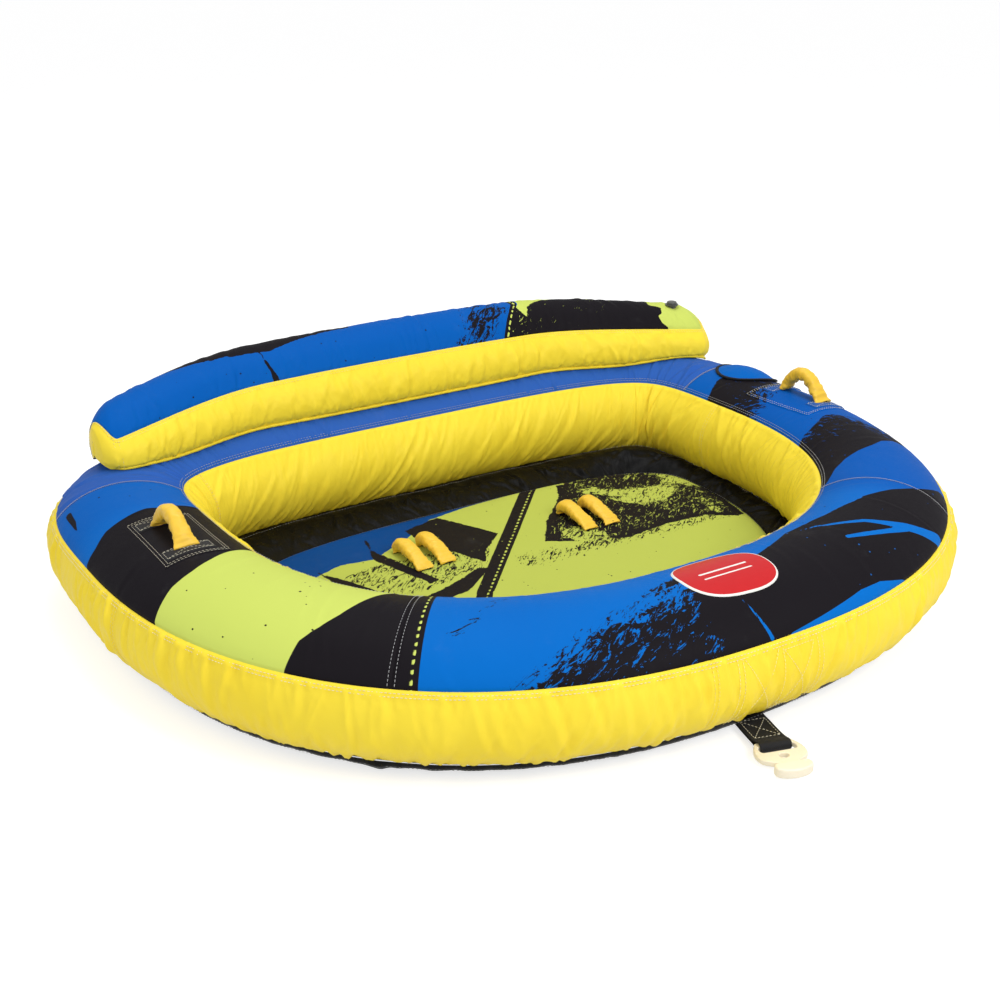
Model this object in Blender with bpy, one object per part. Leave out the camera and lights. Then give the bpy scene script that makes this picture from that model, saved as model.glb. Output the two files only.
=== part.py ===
"""Towable tube: an inflated ring with a floor, a backrest bolster, grab handles and a tow point.

Metres, +Z up, ground at z = 0. The tow point faces -Y, the backrest is at +Y and the riders sit
side by side along X. Front is -Y, left is -X and right is +X throughout. Pieces are laid out from
the ring's plan centre, at its widest station; at the end everything moves by FRAME_SHIFT, which
puts the origin on the ground under the middle of the whole tube's box.
"""

import math

import bmesh
import bpy
import numpy as np
from mathutils import Vector
from mathutils.bvhtree import BVHTree

# ---------------------------------------------------------------- driving dimensions
RING_HALF_X = 0.721        # plan centreline of the ring: half width
RING_FRONT_Y = 0.710       # its reach forward of the widest station
RING_BACK_Y = 0.4205       # and behind it
RING_FRONT_EXP = 2.364     # superellipse exponents: round bow, squarer stern
RING_BACK_EXP = 3.919
TUBE_HALF_W = 0.154        # ring section
TUBE_HALF_H = 0.121
# seams round the section, as angles from the outboard side, over the top
PHI_OUTER_SEAM = math.radians(28.3)
PHI_INNER_SEAM = math.radians(134.6)
PHI_SKIRT_SEAM = math.radians(222.0)
PHI_LOWER_SEAM = math.radians(308.0)

COVER_T = 0.0010           # woven cover
COVER_GAP = 0.0006         # cover to bladder
FILM_T = 0.0010            # bladder film
SEAM_GAP = 0.0005          # half the gap between two cover panels at a seam

FLOOR_HALF_X = 0.548       # floor pad outline
FLOOR_BACK_Y = 0.183
FLOOR_FRONT_Y = 0.530
FLOOR_BACK_EXP = 3.0
FLOOR_FRONT_EXP = 2.4
FLOOR_MID_Z = 0.0240
FLOOR_HALF_T = 0.0165      # to the cover's outside
FLOOR_TOP_Z = FLOOR_MID_Z + FLOOR_HALF_T

VALVE_X, VALVE_Y = 0.744, 0.090        # ring valve, under its flap
BACK_VALVE_X, BACK_VALVE_Y = 0.728, 0.335
FLOOR_VALVE_X, FLOOR_VALVE_Y = 0.300, -0.300

FRAME_SHIFT = (0.0, 0.19665, -0.00045)

# ---------------------------------------------------------------- materials
# linear RGBA colour, roughness, metallic
PAINT = {
    "print_blue": ((0.000, 0.110, 0.480, 1), 0.55, 0.0),
    "royal_blue": ((0.030, 0.110, 0.420, 1), 0.60, 0.0),
    "band_yellow": ((0.870, 0.700, 0.030, 1), 0.50, 0.0),
    "black_cloth": ((0.015, 0.014, 0.015, 1), 0.75, 0.0),
    "lime_print": ((0.600, 0.760, 0.140, 1), 0.60, 0.0),
    "bladder_film": ((0.780, 0.780, 0.760, 1), 0.35, 0.0),
    "grip_yellow": ((0.860, 0.580, 0.020, 1), 0.60, 0.0),
    "webbing": ((0.012, 0.012, 0.013, 1), 0.80, 0.0),
    "valve_plastic": ((0.080, 0.080, 0.090, 1), 0.40, 0.0),
    "hook_plastic": ((0.880, 0.830, 0.660, 1), 0.35, 0.0),
    "badge": ((0.700, 0.045, 0.040, 1), 0.50, 0.0),
    "zip_metal": ((0.500, 0.500, 0.500, 1), 0.35, 1.0),
}
SHARP_ANGLE = math.radians(38)         # smooth pieces keep edges sharper than this


def paint(obj, key):
    """Gives an object a material of its own, in one of the PAINT finishes."""
    colour, roughness, metallic = PAINT[key]
    material = bpy.data.materials.new(obj.name + "_" + key)
    material.use_nodes = True
    inputs = material.node_tree.nodes["Principled BSDF"].inputs
    inputs["Base Color"].default_value = colour
    inputs["Roughness"].default_value = roughness
    inputs["Metallic"].default_value = metallic
    material.diffuse_color = colour
    obj.data.materials.append(material)


# ---------------------------------------------------------------- objects and booleans
def add(name, geometry, key, origin=(0.0, 0.0, 0.0), smooth=True):
    """A painted object from (world points, faces). A moving piece's origin is on its joint axis."""
    points, faces = geometry
    origin = Vector(origin)
    mesh = bpy.data.meshes.new(name)
    mesh.from_pydata([tuple(Vector(p) - origin) for p in points], [], [tuple(f) for f in faces])
    bm = bmesh.new()
    bm.from_mesh(mesh)
    bmesh.ops.recalc_face_normals(bm, faces=bm.faces)
    bm.to_mesh(mesh)
    bm.free()
    mesh.update()
    if smooth:
        mesh.shade_smooth()
        mesh.set_sharp_from_angle(angle=SHARP_ANGLE)
    obj = bpy.data.objects.new(name, mesh)
    obj.location = origin
    bpy.context.scene.collection.objects.link(obj)
    paint(obj, key)
    return obj


def cutter(name, geometry):
    """A hidden helper for a boolean."""
    obj = add(name, geometry, "black_cloth", smooth=False)
    obj.hide_render = True
    obj.display_type = "WIRE"
    return obj


def cut(obj, tool, operation="DIFFERENCE"):
    modifier = obj.modifiers.new(operation.lower() + "_" + tool.name, "BOOLEAN")
    modifier.operation = operation
    modifier.solver = "EXACT"
    modifier.object = tool


# ---------------------------------------------------------------- plan curves
def signed_power(base, exponent):
    return math.copysign(abs(base) ** exponent, base)


class PlanCurve:
    """A closed curve of two half superellipses, walked by arc length, with outward normals."""

    COUNT = 1600           # evenly spaced points kept
    SPAN = 5               # points to either side used for a tangent
    MIN_BEND = 0.6         # curvature below this counts as this much when stations are spaced
    BEND_SHARE = 0.45      # how strongly curvature draws stations together

    def __init__(self, half_x, front_y, front_exp, back_y, back_exp, samples):
        points = []
        for i in range(samples):
            angle = 2 * math.pi * i / samples
            sine = math.sin(angle)
            exponent, reach = (front_exp, front_y) if sine < 0 else (back_exp, back_y)
            points.append((half_x * signed_power(math.cos(angle), 2 / exponent),
                           reach * signed_power(sine, 2 / exponent)))
        points = np.array(points)
        step = np.linalg.norm(np.roll(points, -1, 0) - points, axis=1)
        walk = np.concatenate([[0.0], np.cumsum(step)])
        self.length = float(walk[-1])
        even = np.linspace(0, self.length, self.COUNT, endpoint=False)
        self.points = np.stack([np.interp(even, walk, np.append(points[:, k], points[0, k]))
                                for k in (0, 1)], 1)
        span = self.SPAN
        tangent = np.roll(self.points, -span, 0) - np.roll(self.points, span, 0)
        tangent /= np.linalg.norm(tangent, axis=1)[:, None]
        self.normals = np.stack([tangent[:, 1], -tangent[:, 0]], 1)
        heading = np.unwrap(np.arctan2(tangent[:, 1], tangent[:, 0]))
        change = np.roll(heading, -span) - np.roll(heading, span)
        change = np.abs((change + math.pi) % (2 * math.pi) - math.pi)
        self.bend = change / (2 * span * self.length / self.COUNT)

    def at(self, distance):
        """Point and outward normal at an arc length."""
        place = (distance / self.length % 1.0) * self.COUNT
        i, share = int(place) % self.COUNT, place - int(place)
        j = (i + 1) % self.COUNT
        point = self.points[i] * (1 - share) + self.points[j] * share
        normal = self.normals[i] * (1 - share) + self.normals[j] * share
        return point, normal / np.linalg.norm(normal)

    def nearest_index(self, x, y):
        return int(((self.points - (x, y)) ** 2).sum(1).argmin())

    def nearest(self, x, y):
        """Arc length of the curve's nearest point."""
        return self.nearest_index(x, y) * self.length / self.COUNT

    def stations(self, breaks, target):
        """Arc lengths of every break, and of points between, closer where the curve bends more."""
        weight = np.power(np.maximum(self.bend, self.MIN_BEND), self.BEND_SHARE)
        walk = np.concatenate([[0.0], np.cumsum(weight)]) * self.length / self.COUNT
        even = np.arange(self.COUNT + 1) * self.length / self.COUNT
        total = walk[-1]

        def weighted(distance):
            lap = total if distance >= self.length else 0
            return np.interp(distance % self.length, even, walk) + lap

        breaks = sorted(b % self.length for b in breaks)
        found = []
        for start, end in zip(breaks, breaks[1:] + [breaks[0] + self.length]):
            low, high = weighted(start), weighted(end)
            count = max(1, round((high - low) / target))
            for i in range(count):
                place = low + (high - low) * i / count
                lap = self.length if place >= total else 0
                found.append(float(np.interp(place % total, walk, even)) + lap)
        return found


RING = PlanCurve(RING_HALF_X, RING_FRONT_Y, RING_FRONT_EXP, RING_BACK_Y, RING_BACK_EXP,
                 samples=4800)
DECK = PlanCurve(FLOOR_HALF_X, FLOOR_FRONT_Y, FLOOR_FRONT_EXP, FLOOR_BACK_Y, FLOOR_BACK_EXP,
                 samples=3600)


# ---------------------------------------------------------------- mesh building blocks
def split(a, b, c, d):
    """A quad as two triangles, always on one diagonal, so nested skins keep their gap."""
    return [(a, b, c), (a, c, d)]


def wall(first, second):
    """Quads between two closed loops of vertex numbers."""
    n = len(first)
    return [(first[i], first[(i + 1) % n], second[(i + 1) % n], second[i]) for i in range(n)]


def rim(outer, inner):
    """Quads between the edges of two nested skins, wound the opposite way to wall()."""
    n = len(outer)
    return [(outer[i], inner[i], inner[(i + 1) % n], outer[(i + 1) % n]) for i in range(n)]


def grid_faces(rows, columns, loop_rows):
    """Triangles of a grid whose columns close, and whose rows may."""
    faces = []
    for i in range(rows if loop_rows else rows - 1):
        here, there = i * columns, (i + 1) % rows * columns
        for j in range(columns):
            k = (j + 1) % columns
            faces += split(here + j, there + j, there + k, here + k)
    return faces


def shell(outer_rows, inner_rows, loop=False):
    """A thin closed body between two matching grids of points; loop joins last row to first."""
    rows, columns = len(outer_rows), len(outer_rows[0])
    points = [p for row in outer_rows for p in row] + [p for row in inner_rows for p in row]
    inner = rows * columns
    last = columns - 1
    faces = []
    for i in range(rows if loop else rows - 1):
        here, there = i * columns, (i + 1) % rows * columns
        for j in range(last):
            pair = split(here + j, there + j, there + j + 1, here + j + 1)
            faces += pair + [tuple(inner + v for v in reversed(face)) for face in pair]
        faces.append((here, inner + here, inner + there, there))
        faces.append((there + last, inner + there + last, inner + here + last, here + last))
    if not loop:
        end = (rows - 1) * columns
        for j in range(last):
            k = j + 1
            faces.append((j, k, inner + k, inner + j))
            faces.append((end + k, end + j, inner + end + j, inner + end + k))
    return points, faces


def loft(bottom, top):
    """A prism between two matching outlines of 3D points."""
    n = len(bottom)
    faces = [tuple(reversed(range(n))), tuple(range(n, 2 * n))]
    return bottom + top, faces + wall(range(n), range(n, 2 * n))


def circle(radius, count, x=0.0, y=0.0):
    return [(x + radius * math.cos(2 * math.pi * i / count),
             y + radius * math.sin(2 * math.pi * i / count)) for i in range(count)]


def cylinder(x, y, low, high, radius, sides=20):
    outline = circle(radius, sides, x, y)
    return loft([(*p, low) for p in outline], [(*p, high) for p in outline])


def lathe(profile, x, y, z, sides, flip=False):
    """Turns (radius, height) points about a vertical axis; an end radius of 0 closes to a point."""
    points, rings = [], []
    for radius, height in profile:
        level = z - height if flip else z + height
        start = len(points)
        if radius < 1e-9:
            points.append((x, y, level))
        else:
            points += [(*p, level) for p in circle(radius, sides, x, y)]
        rings.append(list(range(start, len(points))))
    pairs = list(zip(rings, rings[1:]))
    if len(rings[0]) > 1 and len(rings[-1]) > 1:
        pairs.append((rings[-1], rings[0]))
    faces = []
    for first, second in pairs:
        if len(first) == 1:
            faces += [(first[0], second[i], second[(i + 1) % sides]) for i in range(sides)]
        elif len(second) == 1:
            faces += [(first[i], first[(i + 1) % sides], second[0]) for i in range(sides)]
        else:
            faces += wall(first, second)
    return points, faces


def tube_along(path, radii, sides, up, flat=1.0, bore=0.0, turn=0.0):
    """A closed tube round a path, with one radius per path point.

    flat squeezes it sideways, bore is the radius of an open hole through it, and turn rotates
    the section by that many sides.
    """
    path = [Vector(p) for p in path]
    frames = []
    for i, point in enumerate(path):
        tangent = (path[min(i + 1, len(path) - 1)] - path[max(i - 1, 0)]).normalized()
        side = tangent.cross(Vector(up))
        side.normalize()
        frames.append((point, side, side.cross(tangent).normalized()))
    points, skins = [], []
    for skin_radii in ([radii, [bore] * len(path)] if bore else [radii]):
        skin = []
        for (point, side, rise), radius in zip(frames, skin_radii):
            skin.append(list(range(len(points), len(points) + sides)))
            for k in range(sides):
                angle = 2 * math.pi * (k + turn) / sides
                points.append(tuple(point + side * radius * flat * math.cos(angle)
                                    + rise * radius * math.sin(angle)))
        skins.append(skin)
    outer = skins[0]
    faces = []
    for first, second in zip(outer, outer[1:]):
        faces += wall(first, second)
    if bore:
        inner = skins[1]
        for first, second in zip(inner, inner[1:]):
            faces += [tuple(reversed(face)) for face in wall(first, second)]
        for end in (0, -1):
            faces += rim(outer[end], inner[end])
    else:
        faces += [tuple(reversed(outer[0])), tuple(outer[-1])]
    return points, faces


# ---------------------------------------------------------------- ring: bladder and sewn cover
# seams that cross the ring, by a plan point near each
TOP_SEAMS = {"back_left": (-0.720, 0.215), "front_left": (-0.520, -0.545),
             "front_right": (0.505, -0.560), "back_right": (0.720, 0.150)}
BAND_SEAMS = {"left": (-0.715, -0.130), "bow": (-0.140, -0.700), "right": (0.715, -0.130)}
WALL_SEAMS = {"rear_left": (-0.600, 0.356), "right": (0.721, 0.020)}
RING_STATION_STEP = 0.135
SEAM_GAP_RADIUS = 0.135    # section radius used to turn the seam gap into an angle
STATION_MARGIN = 0.01      # stations closer than this to a panel's end are left out
RING_PORT_R = 0.0158       # hole in the bladder for the valve's neck
RING_WELL_R = 0.0285       # hole in the cover round the valve
RING_CUT_TOP_Z = 0.262


def arc_lengths(seams):
    return {name: RING.nearest(*point) for name, point in seams.items()}


TOP_ARCS, BAND_ARCS, WALL_ARCS = map(arc_lengths, (TOP_SEAMS, BAND_SEAMS, WALL_SEAMS))
RING_STATIONS = RING.stations([*TOP_ARCS.values(), *BAND_ARCS.values(), *WALL_ARCS.values()],
                              RING_STATION_STEP)


def even_steps(start, end, count):
    return [start + (end - start) * i / count for i in range(count + 1)]


PHI_TOP = even_steps(PHI_OUTER_SEAM, PHI_INNER_SEAM, 5)
PHI_WALL = even_steps(PHI_INNER_SEAM, PHI_SKIRT_SEAM, 3)
PHI_UNDER = even_steps(PHI_SKIRT_SEAM, PHI_LOWER_SEAM, 3)
PHI_BAND = even_steps(PHI_LOWER_SEAM, PHI_OUTER_SEAM + 2 * math.pi, 4)

# name, section angles, paint, start and end arc lengths
RING_PANELS = (
    ("ring_top_panel_rear", PHI_TOP, "royal_blue", TOP_ARCS["back_right"], TOP_ARCS["back_left"]),
    ("ring_top_panel_left", PHI_TOP, "print_blue", TOP_ARCS["back_left"], TOP_ARCS["front_left"]),
    ("ring_top_panel_front", PHI_TOP, "print_blue", TOP_ARCS["front_left"],
     TOP_ARCS["front_right"]),
    ("ring_top_panel_right", PHI_TOP, "print_blue", TOP_ARCS["front_right"],
     TOP_ARCS["back_right"]),
    ("outer_band_front_left", PHI_BAND, "band_yellow", BAND_ARCS["left"], BAND_ARCS["bow"]),
    ("outer_band_front_right", PHI_BAND, "band_yellow", BAND_ARCS["bow"], BAND_ARCS["right"]),
    ("outer_band_rear", PHI_BAND, "band_yellow", BAND_ARCS["right"], BAND_ARCS["left"]),
    ("inner_wall_rear", PHI_WALL, "band_yellow", WALL_ARCS["right"], WALL_ARCS["rear_left"]),
    ("inner_wall_front", PHI_WALL, "band_yellow", WALL_ARCS["rear_left"], WALL_ARCS["right"]),
    ("ring_bottom_panel", PHI_UNDER, "black_cloth", None, None),
)


def ring_point(distance, phi, inset=0.0):
    """A point on the ring's skin, moved inwards along the section's own normal by inset."""
    centre, outward = RING.at(distance)
    cosine, sine = math.cos(phi), math.sin(phi)
    normal_r, normal_z = cosine / TUBE_HALF_W, sine / TUBE_HALF_H
    size = math.hypot(normal_r, normal_z)
    radial = TUBE_HALF_W * cosine - inset * normal_r / size
    z = TUBE_HALF_H * (1 + sine) - inset * normal_z / size
    return (centre[0] + outward[0] * radial, centre[1] + outward[1] * radial, z)


def ring_top_z(x, y):
    """Height of the smooth ring's upper skin over a plan point."""
    offset = np.hypot(RING.points[:, 0] - x, RING.points[:, 1] - y).min()
    return TUBE_HALF_H * (1 + math.sqrt(max(0.0, 1 - (offset / TUBE_HALF_W) ** 2)))


def ring_panel(name, phis, key, start, end):
    """A strip of the ring's skin between two seams round it and, given a start, two across it."""
    phis = list(phis)
    phis[0] += SEAM_GAP / SEAM_GAP_RADIUS
    phis[-1] -= SEAM_GAP / SEAM_GAP_RADIUS
    run = RING_STATIONS
    if start is not None:
        end = end if end > start else end + RING.length
        two_laps = sorted(RING_STATIONS + [s + RING.length for s in RING_STATIONS])
        run = [start + SEAM_GAP]
        run += [s for s in two_laps if start + STATION_MARGIN < s < end - STATION_MARGIN]
        run.append(end - SEAM_GAP)
    outer, inner = ([[ring_point(s, phi, inset) for phi in phis] for s in run]
                    for inset in (0.0, COVER_T))
    return add(name, shell(outer, inner, loop=start is None), key)


def ring_body(inset):
    """The whole ring as a closed body."""
    phis = PHI_TOP[:-1] + PHI_WALL[:-1] + PHI_UNDER[:-1] + PHI_BAND[:-1]
    points = [ring_point(s, phi, inset) for s in RING_STATIONS for phi in phis]
    return points, grid_faces(len(RING_STATIONS), len(phis), loop_rows=True)


def build_ring():
    bladder = add("ring_bladder", ring_body(COVER_T + COVER_GAP), "bladder_film")
    cut(bladder, cutter("cut_ring_air", ring_body(COVER_T + COVER_GAP + FILM_T)))
    cut(bladder, cutter("cut_ring_port", cylinder(VALVE_X, VALVE_Y, low=0.205,
                                                  high=RING_CUT_TOP_Z, radius=RING_PORT_R)))
    panels = {panel[0]: ring_panel(*panel) for panel in RING_PANELS}
    well = cylinder(VALVE_X, VALVE_Y, low=0.215, high=RING_CUT_TOP_Z, radius=RING_WELL_R)
    cut(panels["ring_top_panel_right"], cutter("cut_valve_well", well))


# ---------------------------------------------------------------- floor: bladder between two sheets
DECK_STATIONS = DECK.stations([0.0], 0.125)
# inset from the outline, height over the middle plane as a share of the half thickness
FLOOR_SECTION = ((0.040, 1.0), (0.012, 0.72), (0.0, 0.0), (0.012, -0.72), (0.040, -1.0))
OUTLINE_RING = 2           # the section's entry on the outline
FLOOR_CUT_LOW_Z = -0.01


def floor_rings(shrink):
    """Rings of points, from the upper face out to the outline and in to the lower face."""
    half_t = FLOOR_HALF_T - shrink
    rings = []
    for inset, share in FLOOR_SECTION:
        ring = []
        for station in DECK_STATIONS:
            point, outward = DECK.at(station)
            x, y = point - outward * (shrink + inset)
            ring.append((x, y, FLOOR_MID_Z + half_t * share))
        rings.append(ring)
    return rings


def floor_body(shrink):
    """The whole pad as a closed lens."""
    n = len(DECK_STATIONS)
    points = [p for ring in floor_rings(shrink) for p in ring]
    last = len(FLOOR_SECTION) - 1
    faces = [tuple(range(n)), tuple(reversed(range(last * n, (last + 1) * n)))]
    for k in range(last):
        for quad in wall(range(k * n, (k + 1) * n), range((k + 1) * n, (k + 2) * n)):
            faces += split(*quad)
    return points, faces


def floor_sheet(name, key, upper):
    """The cover's upper or lower sheet, from the middle of the pad to its rim."""
    picked = (0, 1, 2) if upper else (2, 3, 4)
    rim_lift = SEAM_GAP if upper else -SEAM_GAP
    n = len(DECK_STATIONS)
    points = []
    for skin in (floor_rings(0.0), floor_rings(COVER_T)):
        for k in picked:
            lift = rim_lift if k == OUTLINE_RING else 0.0
            points += [(x, y, z + lift) for x, y, z in skin[k]]
    inner = len(picked) * n
    faces = []
    for k in (0, 1):
        for quad in wall(range(k * n, (k + 1) * n), range((k + 1) * n, (k + 2) * n)):
            pair = split(*quad)
            faces += pair + [tuple(inner + v for v in reversed(face)) for face in pair]
    edge, middle = (2 * n, 0) if upper else (0, 2 * n)
    faces += wall(range(edge, edge + n), range(inner + edge, inner + edge + n))
    faces += [tuple(range(middle, middle + n)), tuple(range(inner + middle, inner + middle + n))]
    return add(name, (points, faces), key)


def build_floor():
    bladder = add("floor_bladder", floor_body(COVER_T + COVER_GAP), "bladder_film")
    cut(bladder, cutter("cut_floor_air", floor_body(COVER_T + COVER_GAP + FILM_T)))
    port = cylinder(FLOOR_VALVE_X, FLOOR_VALVE_Y, low=FLOOR_CUT_LOW_Z, high=0.020, radius=0.0128)
    cut(bladder, cutter("cut_floor_port", port))
    floor_sheet("floor_top_sheet", "lime_print", upper=True)
    bottom = floor_sheet("floor_bottom_sheet", "black_cloth", upper=False)
    hole = cylinder(FLOOR_VALVE_X, FLOOR_VALVE_Y, low=FLOOR_CUT_LOW_Z, high=0.0093, radius=0.0245)
    cut(bottom, cutter("cut_floor_hole", hole))


SKIRT_STATION_STEP = 0.110
SKIRT_T = 0.0012
SKIRT_TOP_ZS = (0.0300, 0.0375, 0.0412)    # at the floor, half way, at the ring
SKIRT_FLOOR_GAP = 0.0016
SKIRT_RING_GAP = 0.0042


def build_skirt():
    """Bridges from the floor's rim to the ring's inner lower seam."""
    reach = TUBE_HALF_W * math.cos(PHI_SKIRT_SEAM) - SKIRT_RING_GAP
    upper, lower = [], []
    for station in DECK.stations([0.0], SKIRT_STATION_STEP):
        rim_point, outward = DECK.at(station)
        i = RING.nearest_index(*rim_point)
        at_ring = RING.points[i] + RING.normals[i] * reach
        at_floor = rim_point + outward * SKIRT_FLOOR_GAP
        plan = (at_floor, (at_floor + at_ring) / 2, at_ring)
        upper.append([(x, y, z) for (x, y), z in zip(plan, SKIRT_TOP_ZS)])
        lower.append([(x, y, z - SKIRT_T) for (x, y), z in zip(plan, SKIRT_TOP_ZS)])
    add("floor_skirt", shell(upper, lower, loop=True), "black_cloth")


# ---------------------------------------------------------------- backrest
BACK_HALF_X = 0.766
BACK_SHIFT_X = 0.040       # its middle, to the right of the ring's
BACK_FRONT_Y = 0.360       # its front seam on the middle plane
BACK_BOW = 0.125           # how far that seam comes forward at the ends
BACK_BOW_START_X = 0.33    # where the seam starts to come forward
BACK_BOW_RUN_X = 0.50      # and the length over which it does
BACK_DEPTH = 0.200
BACK_BASE_Z = 0.2350       # the front seam's level
BACK_TOP_Z = 0.390
BACK_RING_GAP = 0.0048     # least clearance over the ring's top
BACK_FLOOR_DROP = 0.080    # lowest reach of the underside below the section's middle
BACK_GAP = COVER_GAP + 0.0008          # the bolster's cover is looser on its bladder
# sections along X, as shares of the half width
BACK_SHARES = (-1.0, -0.992, -0.965, -0.91, -0.79, -0.60, -0.34, 0.0,
               0.34, 0.60, 0.79, 0.91, 0.965, 0.992, 1.0)
BACK_XS = [BACK_SHIFT_X + BACK_HALF_X * share for share in BACK_SHARES]
# distance behind the front seam, height above it, as shares of depth and height
BACK_SECTION = ((0.000, 0.000), (-0.035, 0.170), (0.010, 0.400), (0.130, 0.620), (0.310, 0.870),
                (0.540, 1.000), (0.740, 0.950), (0.900, 0.750), (1.000, 0.440), (1.005, 0.130),
                (0.900, -0.140))
BACK_FLOOR = (0.700, 0.450, 0.220)     # depth shares of the points under it
SEAM_UP, SEAM_REAR = 3, 10             # section points on the upper and rear seams
# how the three outermost sections draw in along X: share of the inset, share below the cover
BACK_END_DRAW = ((1.0, 1.5), (0.7, 1.0), (0.4, 0.5))
BACK_CAP_DRAW = 1.6                    # how much more the end outlines shrink than the inset


def back_front_y(x):
    share = min(1.0, max(0.0, (abs(x) - BACK_BOW_START_X) / BACK_BOW_RUN_X))
    return BACK_FRONT_Y - BACK_BOW * share * share * (3 - 2 * share)


def back_row(x):
    """One section of the bolster, square to X, with its ends drawn in and rounded."""
    share = min(1.0, abs(x - BACK_SHIFT_X) / BACK_HALF_X)
    end = max(0.0, (share - 0.90) / 0.10)
    close = math.sqrt(max(0.02, 1.0 - end ** 2.4))
    close_z = 0.25 + 0.75 * close
    depth = BACK_DEPTH * (1.0 - 0.12 * share ** 4)
    height = (BACK_TOP_Z - BACK_BASE_Z) * (1.0 - 0.30 * share ** 2.6)
    front_y = back_front_y(x)
    mid_y, mid_z = front_y + 0.5 * depth, BACK_BASE_Z + 0.30 * height
    row = []
    for back, rise in BACK_SECTION:
        y = mid_y + (front_y + back * depth - mid_y) * close
        z = mid_z + (BACK_BASE_Z + rise * height - mid_z) * close_z
        row.append([x, y, max(z, ring_top_z(x, y) + BACK_RING_GAP)])
    for back in BACK_FLOOR:
        y = mid_y + (front_y + back * depth - mid_y) * close
        low = ring_top_z(x, y) + BACK_RING_GAP
        z = mid_z + (max(low, mid_z - BACK_FLOOR_DROP) - mid_z) * close_z
        row.append([x, y, max(low, z)])
    return row


def outward_normals(grid):
    """Unit normals of a grid of points whose columns close and whose rows do not."""
    along = np.gradient(grid, axis=0)
    around = np.roll(grid, -1, 1) - np.roll(grid, 1, 1)
    normal = np.cross(along, around)
    normal /= np.maximum(np.linalg.norm(normal, axis=2), 1e-12)[:, :, None]
    centre = grid.mean(axis=1, keepdims=True)
    return -normal if ((grid - centre) * normal).sum() < 0 else normal


BACK_GRID = np.array([back_row(x) for x in BACK_XS])
BACK_NORMALS = outward_normals(BACK_GRID)
SECTION_COUNT = BACK_GRID.shape[1]


def back_skin(inset):
    """The bolster's grid of points, moved inwards."""
    grid = BACK_GRID - BACK_NORMALS * inset
    within = max(0.0, inset - COVER_T)
    for k, (inset_share, within_share) in enumerate(BACK_END_DRAW):
        draw = inset_share * inset + within_share * within
        grid[k, :, 0] = BACK_XS[k] + draw
        grid[-1 - k, :, 0] = BACK_XS[-1 - k] - draw
    for k in (0, -1):
        centre = grid[k].mean(axis=0)
        spoke = grid[k] - centre
        radius = np.maximum(np.linalg.norm(spoke, axis=1), 0.004)
        grid[k] = centre + spoke * (1 - BACK_CAP_DRAW * inset / radius)[:, None]
    if within:
        # the bladder rides a little higher over the base panel towards the ends
        near_end = np.clip((np.abs(np.array(BACK_SHARES)) - 0.75) / 0.15, 0, 1)[:, None]
        grid[:, SEAM_REAR:, 2] += 0.0024 * near_end
        grid[:, :1, 2] += 0.0016 * near_end
    return grid


def back_body(inset):
    """The whole bolster as a closed body."""
    grid = back_skin(inset)
    rows, columns = grid.shape[:2]
    faces = grid_faces(rows, columns, loop_rows=False)
    faces += [tuple(range(columns)), tuple(reversed(range((rows - 1) * columns, rows * columns)))]
    return [tuple(p) for p in grid.reshape(-1, 3)], faces


def back_strip(name, first, last, key):
    """A cover panel of the bolster between two of its long seams."""
    columns = [k % SECTION_COUNT for k in range(first, last + 1)]
    skins = []
    for inset in (0.0, COVER_T):
        grid = back_skin(inset)[:, columns].copy()
        for edge, neighbour in ((0, 1), (-1, -2)):
            step = grid[:, neighbour] - grid[:, edge]
            size = np.maximum(np.linalg.norm(step, axis=1), 1e-9)[:, None]
            grid[:, edge] += step / size * np.minimum(SEAM_GAP, 0.3 * size)
        skins.append([[tuple(p) for p in row] for row in grid])
    return add(name, shell(*skins), key)


def build_backrest():
    """Returns the two pieces that the backrest's valve passes through."""
    bladder = add("backrest_bladder", back_body(COVER_T + BACK_GAP), "bladder_film")
    cut(bladder, cutter("cut_backrest_air", back_body(COVER_T + BACK_GAP + FILM_T)))
    back_strip("backrest_front_band", 0, SEAM_UP, "band_yellow")
    top = back_strip("backrest_top_panel", SEAM_UP, SEAM_REAR, "print_blue")
    back_strip("backrest_base_panel", SEAM_REAR, SECTION_COUNT, "black_cloth")
    return bladder, top


PIPING_R = 0.0034
PIPING_FORWARD = 0.0057    # its middle, ahead of the front seam
PIPING_RING_RISE = 0.0070  # least height of its middle over the ring


def build_piping():
    """Cord along the foot of the backrest's yellow band."""
    path = []
    for x, row in zip(BACK_XS[2:-2], BACK_GRID[2:-2]):
        y = row[0][1] - PIPING_FORWARD
        path.append((x, y, max(row[0][2], ring_top_z(x, y) + PIPING_RING_RISE)))
    tube = tube_along(path, [PIPING_R] * len(path), sides=6, up=(0, 0, 1))
    add("backrest_piping", tube, "band_yellow")


# ---------------------------------------------------------------- valves
VALVE_WALL = 0.0035        # neck wall
FLANGE_T = 0.0022
CAP_SEAT = 0.0026          # cap's underside over the flange's underside
PLUG_GAP = 0.0008          # cap's plug to the bore
PLUG_DEPTH = 0.006
VALVE_LIFT = 0.0004        # flange over the skin it seats on
FLOOR_VALVE_INSET = 0.0008


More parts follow.
